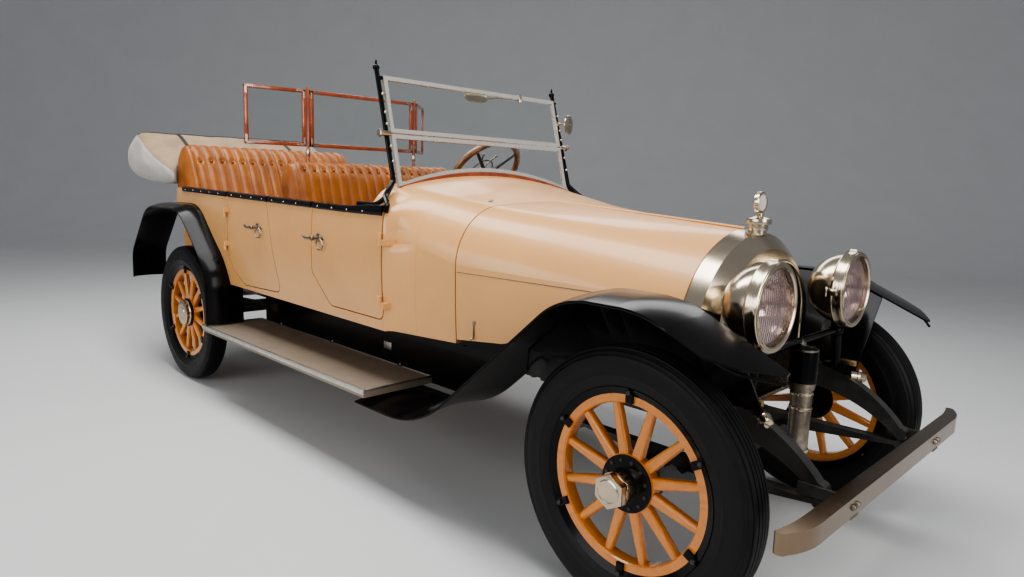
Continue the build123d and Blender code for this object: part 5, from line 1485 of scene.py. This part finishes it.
def at_wheel(ahead, angle, radius):
    """A point off the wheel's hub: ahead along the column, radius out at an angle."""
    return wheel_at + column * ahead + (side_way * cos(angle) + up_way * sin(angle)) * radius


spokes = []
for number in range(4):
    angle = radians(45 + 90 * number)
    spokes.append(bar(at_wheel(0.014, angle, 0.026), at_wheel(0.002, angle, 0.214), 0.0125, tip=0.0085,
                      sides=14))
spokes.append(turned([(0.0, -0.016), (0.030, -0.012), (0.036, 0.0), (0.034, 0.030), (0.0, 0.030)],
                     wheel_at, column))
settle(spokes, "steering_spokes", chassis_black, "steering_wheel")
arc = [at_wheel(-0.030, angle, 0.072) for angle in np.linspace(radians(-20), radians(200), 15)]
quadrant = [line(arc, 0.0045), bar(at_wheel(-0.014, 0, 0), at_wheel(-0.036, 0, 0), 0.020, edge=0.003)]
for angle in (radians(60), radians(115)):
    lever = [at_wheel(-0.034, angle, 0.012), at_wheel(-0.040, angle, 0.080), at_wheel(-0.036, angle, 0.112)]
    quadrant += [line(lever, 0.0042), ball(at_wheel(-0.036, angle, 0.114), 0.0085)]
settle(quadrant, "quadrant_levers", dark_nickel)
print("steering wheel", tuple(round(c, 3) for c in wheel_at))

# %% [markdown]
# The screen behind the front seat has a middle panel and two wings on posts. The photograph
# shows the near wing open and the far one folded back, nearly edge on to the camera, so each
# panel is built flat at its hinge and turned into place.

# %% Tonneau screen
panel_low, panel_high, panel_bar = 1.549, 1.876, 0.022
screen_x, post_y = 0.980, 0.385
arm_long, arm_wide, arm_inset = 0.048, 0.011, 0.004


def framed_panel(width, start):
    """Wood frame, corner plates and pane of one panel, from y = start, in the plane x = 0."""
    low, high, end = panel_low, panel_high, start + width
    wood = [slab((-0.009, y0, z0), (0.009, y1, z1), 0.0025)
            for y0, y1, z0, z1 in ((start, end, low, low + panel_bar),
                                   (start, end, high - panel_bar, high),
                                   (start, start + panel_bar, low + 0.002, high - 0.002),
                                   (end - panel_bar, end, low + 0.002, high - 0.002))]
    plates = []
    for y, way in ((start, 1), (end, -1)):
        for z, rise in ((low, 1), (high, -1)):
            for reach_y, reach_z in ((arm_long, arm_wide), (arm_wide, arm_long)):
                y0, y1 = sorted((y + way * arm_inset, y + way * (arm_inset + reach_y)))
                z0, z1 = sorted((z + rise * arm_inset, z + rise * (arm_inset + reach_z)))
                plates.append(slab((-0.0100, y0, z0), (0.0100, y1, z1), 0.0006, segments=1))
    rebate = panel_bar - 0.004
    pane = slab((-0.0025, start + rebate, low + rebate), (0.0025, end - rebate, high - rebate), 0.0005,
                segments=1)
    return join(wood), join(plates), pane


wood_parts, plate_parts, panes = [], [], []
wing_width, wing_y = 0.352, 0.399
for width, start, y, angle in ((0.742, -0.371, 0.0, 0), (wing_width, 0.0, wing_y, 45),
                               (wing_width, -wing_width, -wing_y, -8)):
    turn = Matrix.Translation(car(screen_x, y, 0)) @ Matrix.Rotation(radians(angle), 4, "Z")
    for group, piece in zip((wood_parts, plate_parts, panes), framed_panel(width, start)):
        piece.data.transform(turn)
        group.append(piece)
for side in (-1, 1):
    y = side * post_y
    wood_parts.append(bar(car(screen_x, y, 0.735), car(screen_x, y, 1.890), 0.009, edge=0.002))
    plate_parts.append(bar(car(screen_x, y, 1.495), car(screen_x, y, 1.535), 0.0125, edge=0.002))
    for z in (panel_low + 0.040, panel_high - 0.040):
        plate_parts.append(slab(car(screen_x - 0.0035, y - 0.020, z - 0.012),
                                car(screen_x + 0.0035, y + 0.020, z + 0.012), 0.001))
wings = settle(wood_parts, "tonneau_woodwork", screen_wood, smooth=30)
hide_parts("tonneau_frame")
settle(plate_parts, "tonneau_plates", nickel, smooth=30)


# %% [markdown]
# The windshield's two panes are sheets in its own plane. The lower one ends in the arch of
# the frame, a little inside the metal. They are joined to the other panes, as one glass.

# %% Panes
pane_half_width = 0.570
pane_gap = 0.019


def upper_pane(u, v):
    """From the pivot line up to the top rail."""
    return in_screen(pane_gap + v * (0.2707 - 0.036), (u - 0.5) * 2 * pane_half_width)


def lower_pane(u, v):
    """From the arched lower frame up to the pivot line."""
    y = (u - 0.5) * 2 * pane_half_width
    foot = screen_foot(y) + 0.016
    return in_screen(foot + v * (-pane_gap - foot), y)


panes += [thicken(formed(24, 2, place, close=False), 0.005, offset=0) for place in (upper_pane, lower_pane)]
all_panes = settle(panes, "glass_panes", pane_glass)
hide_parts("window_glass")
print("tonneau", len(panes), "panes")

# %% [markdown]
# Inside, carpet covers the floors and padded leather cards line the doors. A card is laid on
# the door's inner skin, found by rays from the middle of the car.

# %% Carpets and door cards
rug_low, rug_top = 0.7355, 0.7425
rugs = [slab(car(x0, -y, rug_low), car(x1, y, rug_top)) for x0, x1, y in ((0.535, 1.275, 0.62),
                                                                          (1.79, 2.245, 0.60))]
settle(rugs, "floor_carpets", carpet)
card_low, card_high, card_puff = 0.93, 1.20, 0.008


def door_card(node, x0, x1, side):
    """A puffed sheet just inside the door's inner skin, read at a net of places."""
    along, up = np.linspace(0, 1, 6), np.linspace(0, 1, 5)
    skins = [[skin_y(node, x0 + (x1 - x0) * a, card_low + (card_high - card_low) * b, side, inside=True)
              for a in along] for b in up]

    def place(u, v):
        rim = np.minimum(np.minimum(u, 1 - u) * 6, np.minimum(v, 1 - v) * 4)
        puff = card_puff * np.clip(rim, 0, 1) ** 0.5
        y = np.array([np.interp(a, along, [np.interp(b, up, column) for column in zip(*skins)])
                      for a, b in zip(u, v)])
        return (x0 + (x1 - x0) * u + rear_axle_x, side * (y - 0.0015 - puff),
                card_low + (card_high - card_low) * v)

    return sheet(24, 14, place, (0, -side, 0), 0.001)


for node, x0, x1 in (("door_front", 1.70, 2.215), ("door_rear", 0.66, 1.075)):
    for side, tag in both_sides:
        door = f"{node}_{tag}"
        settle(door_card(door, x0, x1, side), f"{node}_card_{tag}", leather, door, smooth=60)

# %% [markdown]
# Three plain dials sit on the wooden dashboard, under the scuttle. Each is a turned ring, a
# flat face and a thin hand, so a small loop makes them all.

# %% Dashboard dials
dash_x = 2.2895
bezels, faces, hands = [], [], []
for y, z, radius in ((0.02, 1.215, 0.046), (-0.13, 1.215, 0.032), (0.15, 1.215, 0.032)):
    at = car(dash_x, y, z)
    bezels.append(turned([(radius * 0.9, 0.001), (radius * 0.9, 0.008), (radius, 0.010),
                          (radius * 1.08, 0.006), (radius * 1.1, 0.001)], at, (-1, 0, 0), steps=36))
    faces.append(bar(at, at + Vector((-0.005, 0, 0)), radius * 0.93, sides=36))
    hands.append(slab(at + Vector((-0.0068, -0.0012, -0.004)), at + Vector((-0.0058, 0.0012, radius * 0.7)),
                      0.0003, segments=1))
settle(bezels, "dial_bezels", nickel)
settle(faces, "dial_faces", dial_white)
settle(hands, "dial_hands", binding)
print("dials", len(faces))

# %% [markdown]
# The photograph shows a small flush catch on the near side of the scuttle. It is a thin
# bevelled bar, laid on the skin by the surface's own normal at that place.

# %% Scuttle catch
catch = slab((-0.024, -0.008, -0.0015), (0.024, 0.008, 0.0020), 0.001)
hit, spot, normal, face = nodes["cowl"].ray_cast(car(2.549, -0.373, 1.6), Vector((0, 0, -1)))
lie = normal.to_track_quat("Z", "Y").to_matrix().to_4x4()
catch.data.transform(Matrix.Translation(spot) @ lie @ Matrix.Rotation(radians(62), 4, "Z"))
settle(catch, "scuttle_catch", dark_nickel)
print("catch at", tuple(round(c, 3) for c in spot))

# %% [markdown]
# The stage is a pale studio floor that bends up into a wall behind the car, so no horizon
# shows. Two large soft lamps hang above, two more fill the near side and the front, and the
# world gives a little even light, much as in a large hall.

# %% Floor
floor_finish = finish("studio_floor", (0.62, 0.62, 0.61), (0.6, 0.6, 0.59), scale=1.5, rough=(0.6, 0.7),
                      bump=0.0)
flat_run, bend = 8, 6


def floor_form(u, v):
    """The sweep: flat in front, bent up by an arc far behind the car."""
    across, run = (u - 0.5) * 44, (v - 0.25) * 40
    rise = np.clip(run - flat_run, 0, None)
    lift = np.where(rise < bend, bend - np.sqrt(np.clip(bend ** 2 - rise ** 2, 0, None)), rise)
    turn = radians(40)
    along = np.minimum(run, flat_run + np.minimum(rise, bend))
    return (across * cos(turn) - along * sin(turn), across * sin(turn) + along * cos(turn), lift - 0.0005)


sweep = formed(4, 120, floor_form, close=False)
sweep.name = "studio_sweep"
sweep.data.materials.append(floor_finish)
only(sweep)
bpy.ops.object.shade_smooth()


# %% Lamps and world


def lamp(name, place, aim, size, power):
    """A soft rectangular lamp at place, turned towards aim."""
    deselect()
    bpy.ops.object.light_add(type="AREA", location=place)
    made = bpy.context.object
    made.name = name
    made.data.shape = "RECTANGLE"
    made.data.size, made.data.size_y = size
    made.data.energy = power
    made.rotation_euler = (Vector(aim) - Vector(place)).to_track_quat("-Z", "Y").to_euler()
    return made


lamp("top_long", (0.0, -1.0, 4.6), (0, 0, 0.6), (7.0, 1.6), 285)
lamp("top_back", (-1.5, 3.2, 4.0), (0, 0, 0.8), (6.0, 1.2), 80)
lamp("near_fill", (1.0, -6.5, 2.6), (0, 0, 0.8), (6.0, 2.4), 160)
lamp("front_fill", (7.0, -1.0, 2.6), (1.2, 0, 0.7), (2.4, 3.0), 120)
world = bpy.data.worlds.new("studio") if not bpy.data.worlds else bpy.data.worlds[0]
bpy.context.scene.world = world
world.use_nodes = True
sky = world.node_tree.nodes["Background"]
sky.inputs["Color"].default_value = (0.9, 0.93, 1.0, 1)
sky.inputs["Strength"].default_value = 0.3
bpy.context.scene.view_settings.view_transform = "AgX"
bpy.context.scene.view_settings.look = "AgX - Medium High Contrast"

# %% [markdown]
# The camera stands where the photograph was taken from: low beside the front wheel, close,
# with a wide lens and a slight roll. Its three axes go straight into its matrix.

# %% Camera
camera_at = (3.3889, -2.541, 1.392)
yaw, pitch, roll = -0.7823, -0.1507, 0.0323
ahead = Vector((sin(yaw) * cos(pitch), cos(yaw) * cos(pitch), sin(pitch)))
level = Vector((cos(yaw), -sin(yaw), 0))
upward = level.cross(ahead)
right = level * cos(roll) + upward * sin(roll)
above = upward * cos(roll) - level * sin(roll)
deselect()
bpy.ops.object.camera_add()
camera = bpy.context.object
camera.name = "photo_camera"
camera.data.lens = 25.0
camera.data.sensor_width = 36.0
camera.data.clip_end = 200
matrix = Matrix((right, above, -ahead)).transposed().to_4x4()
matrix.translation = Vector(camera_at)
camera.matrix_world = matrix
bpy.context.scene.camera = camera
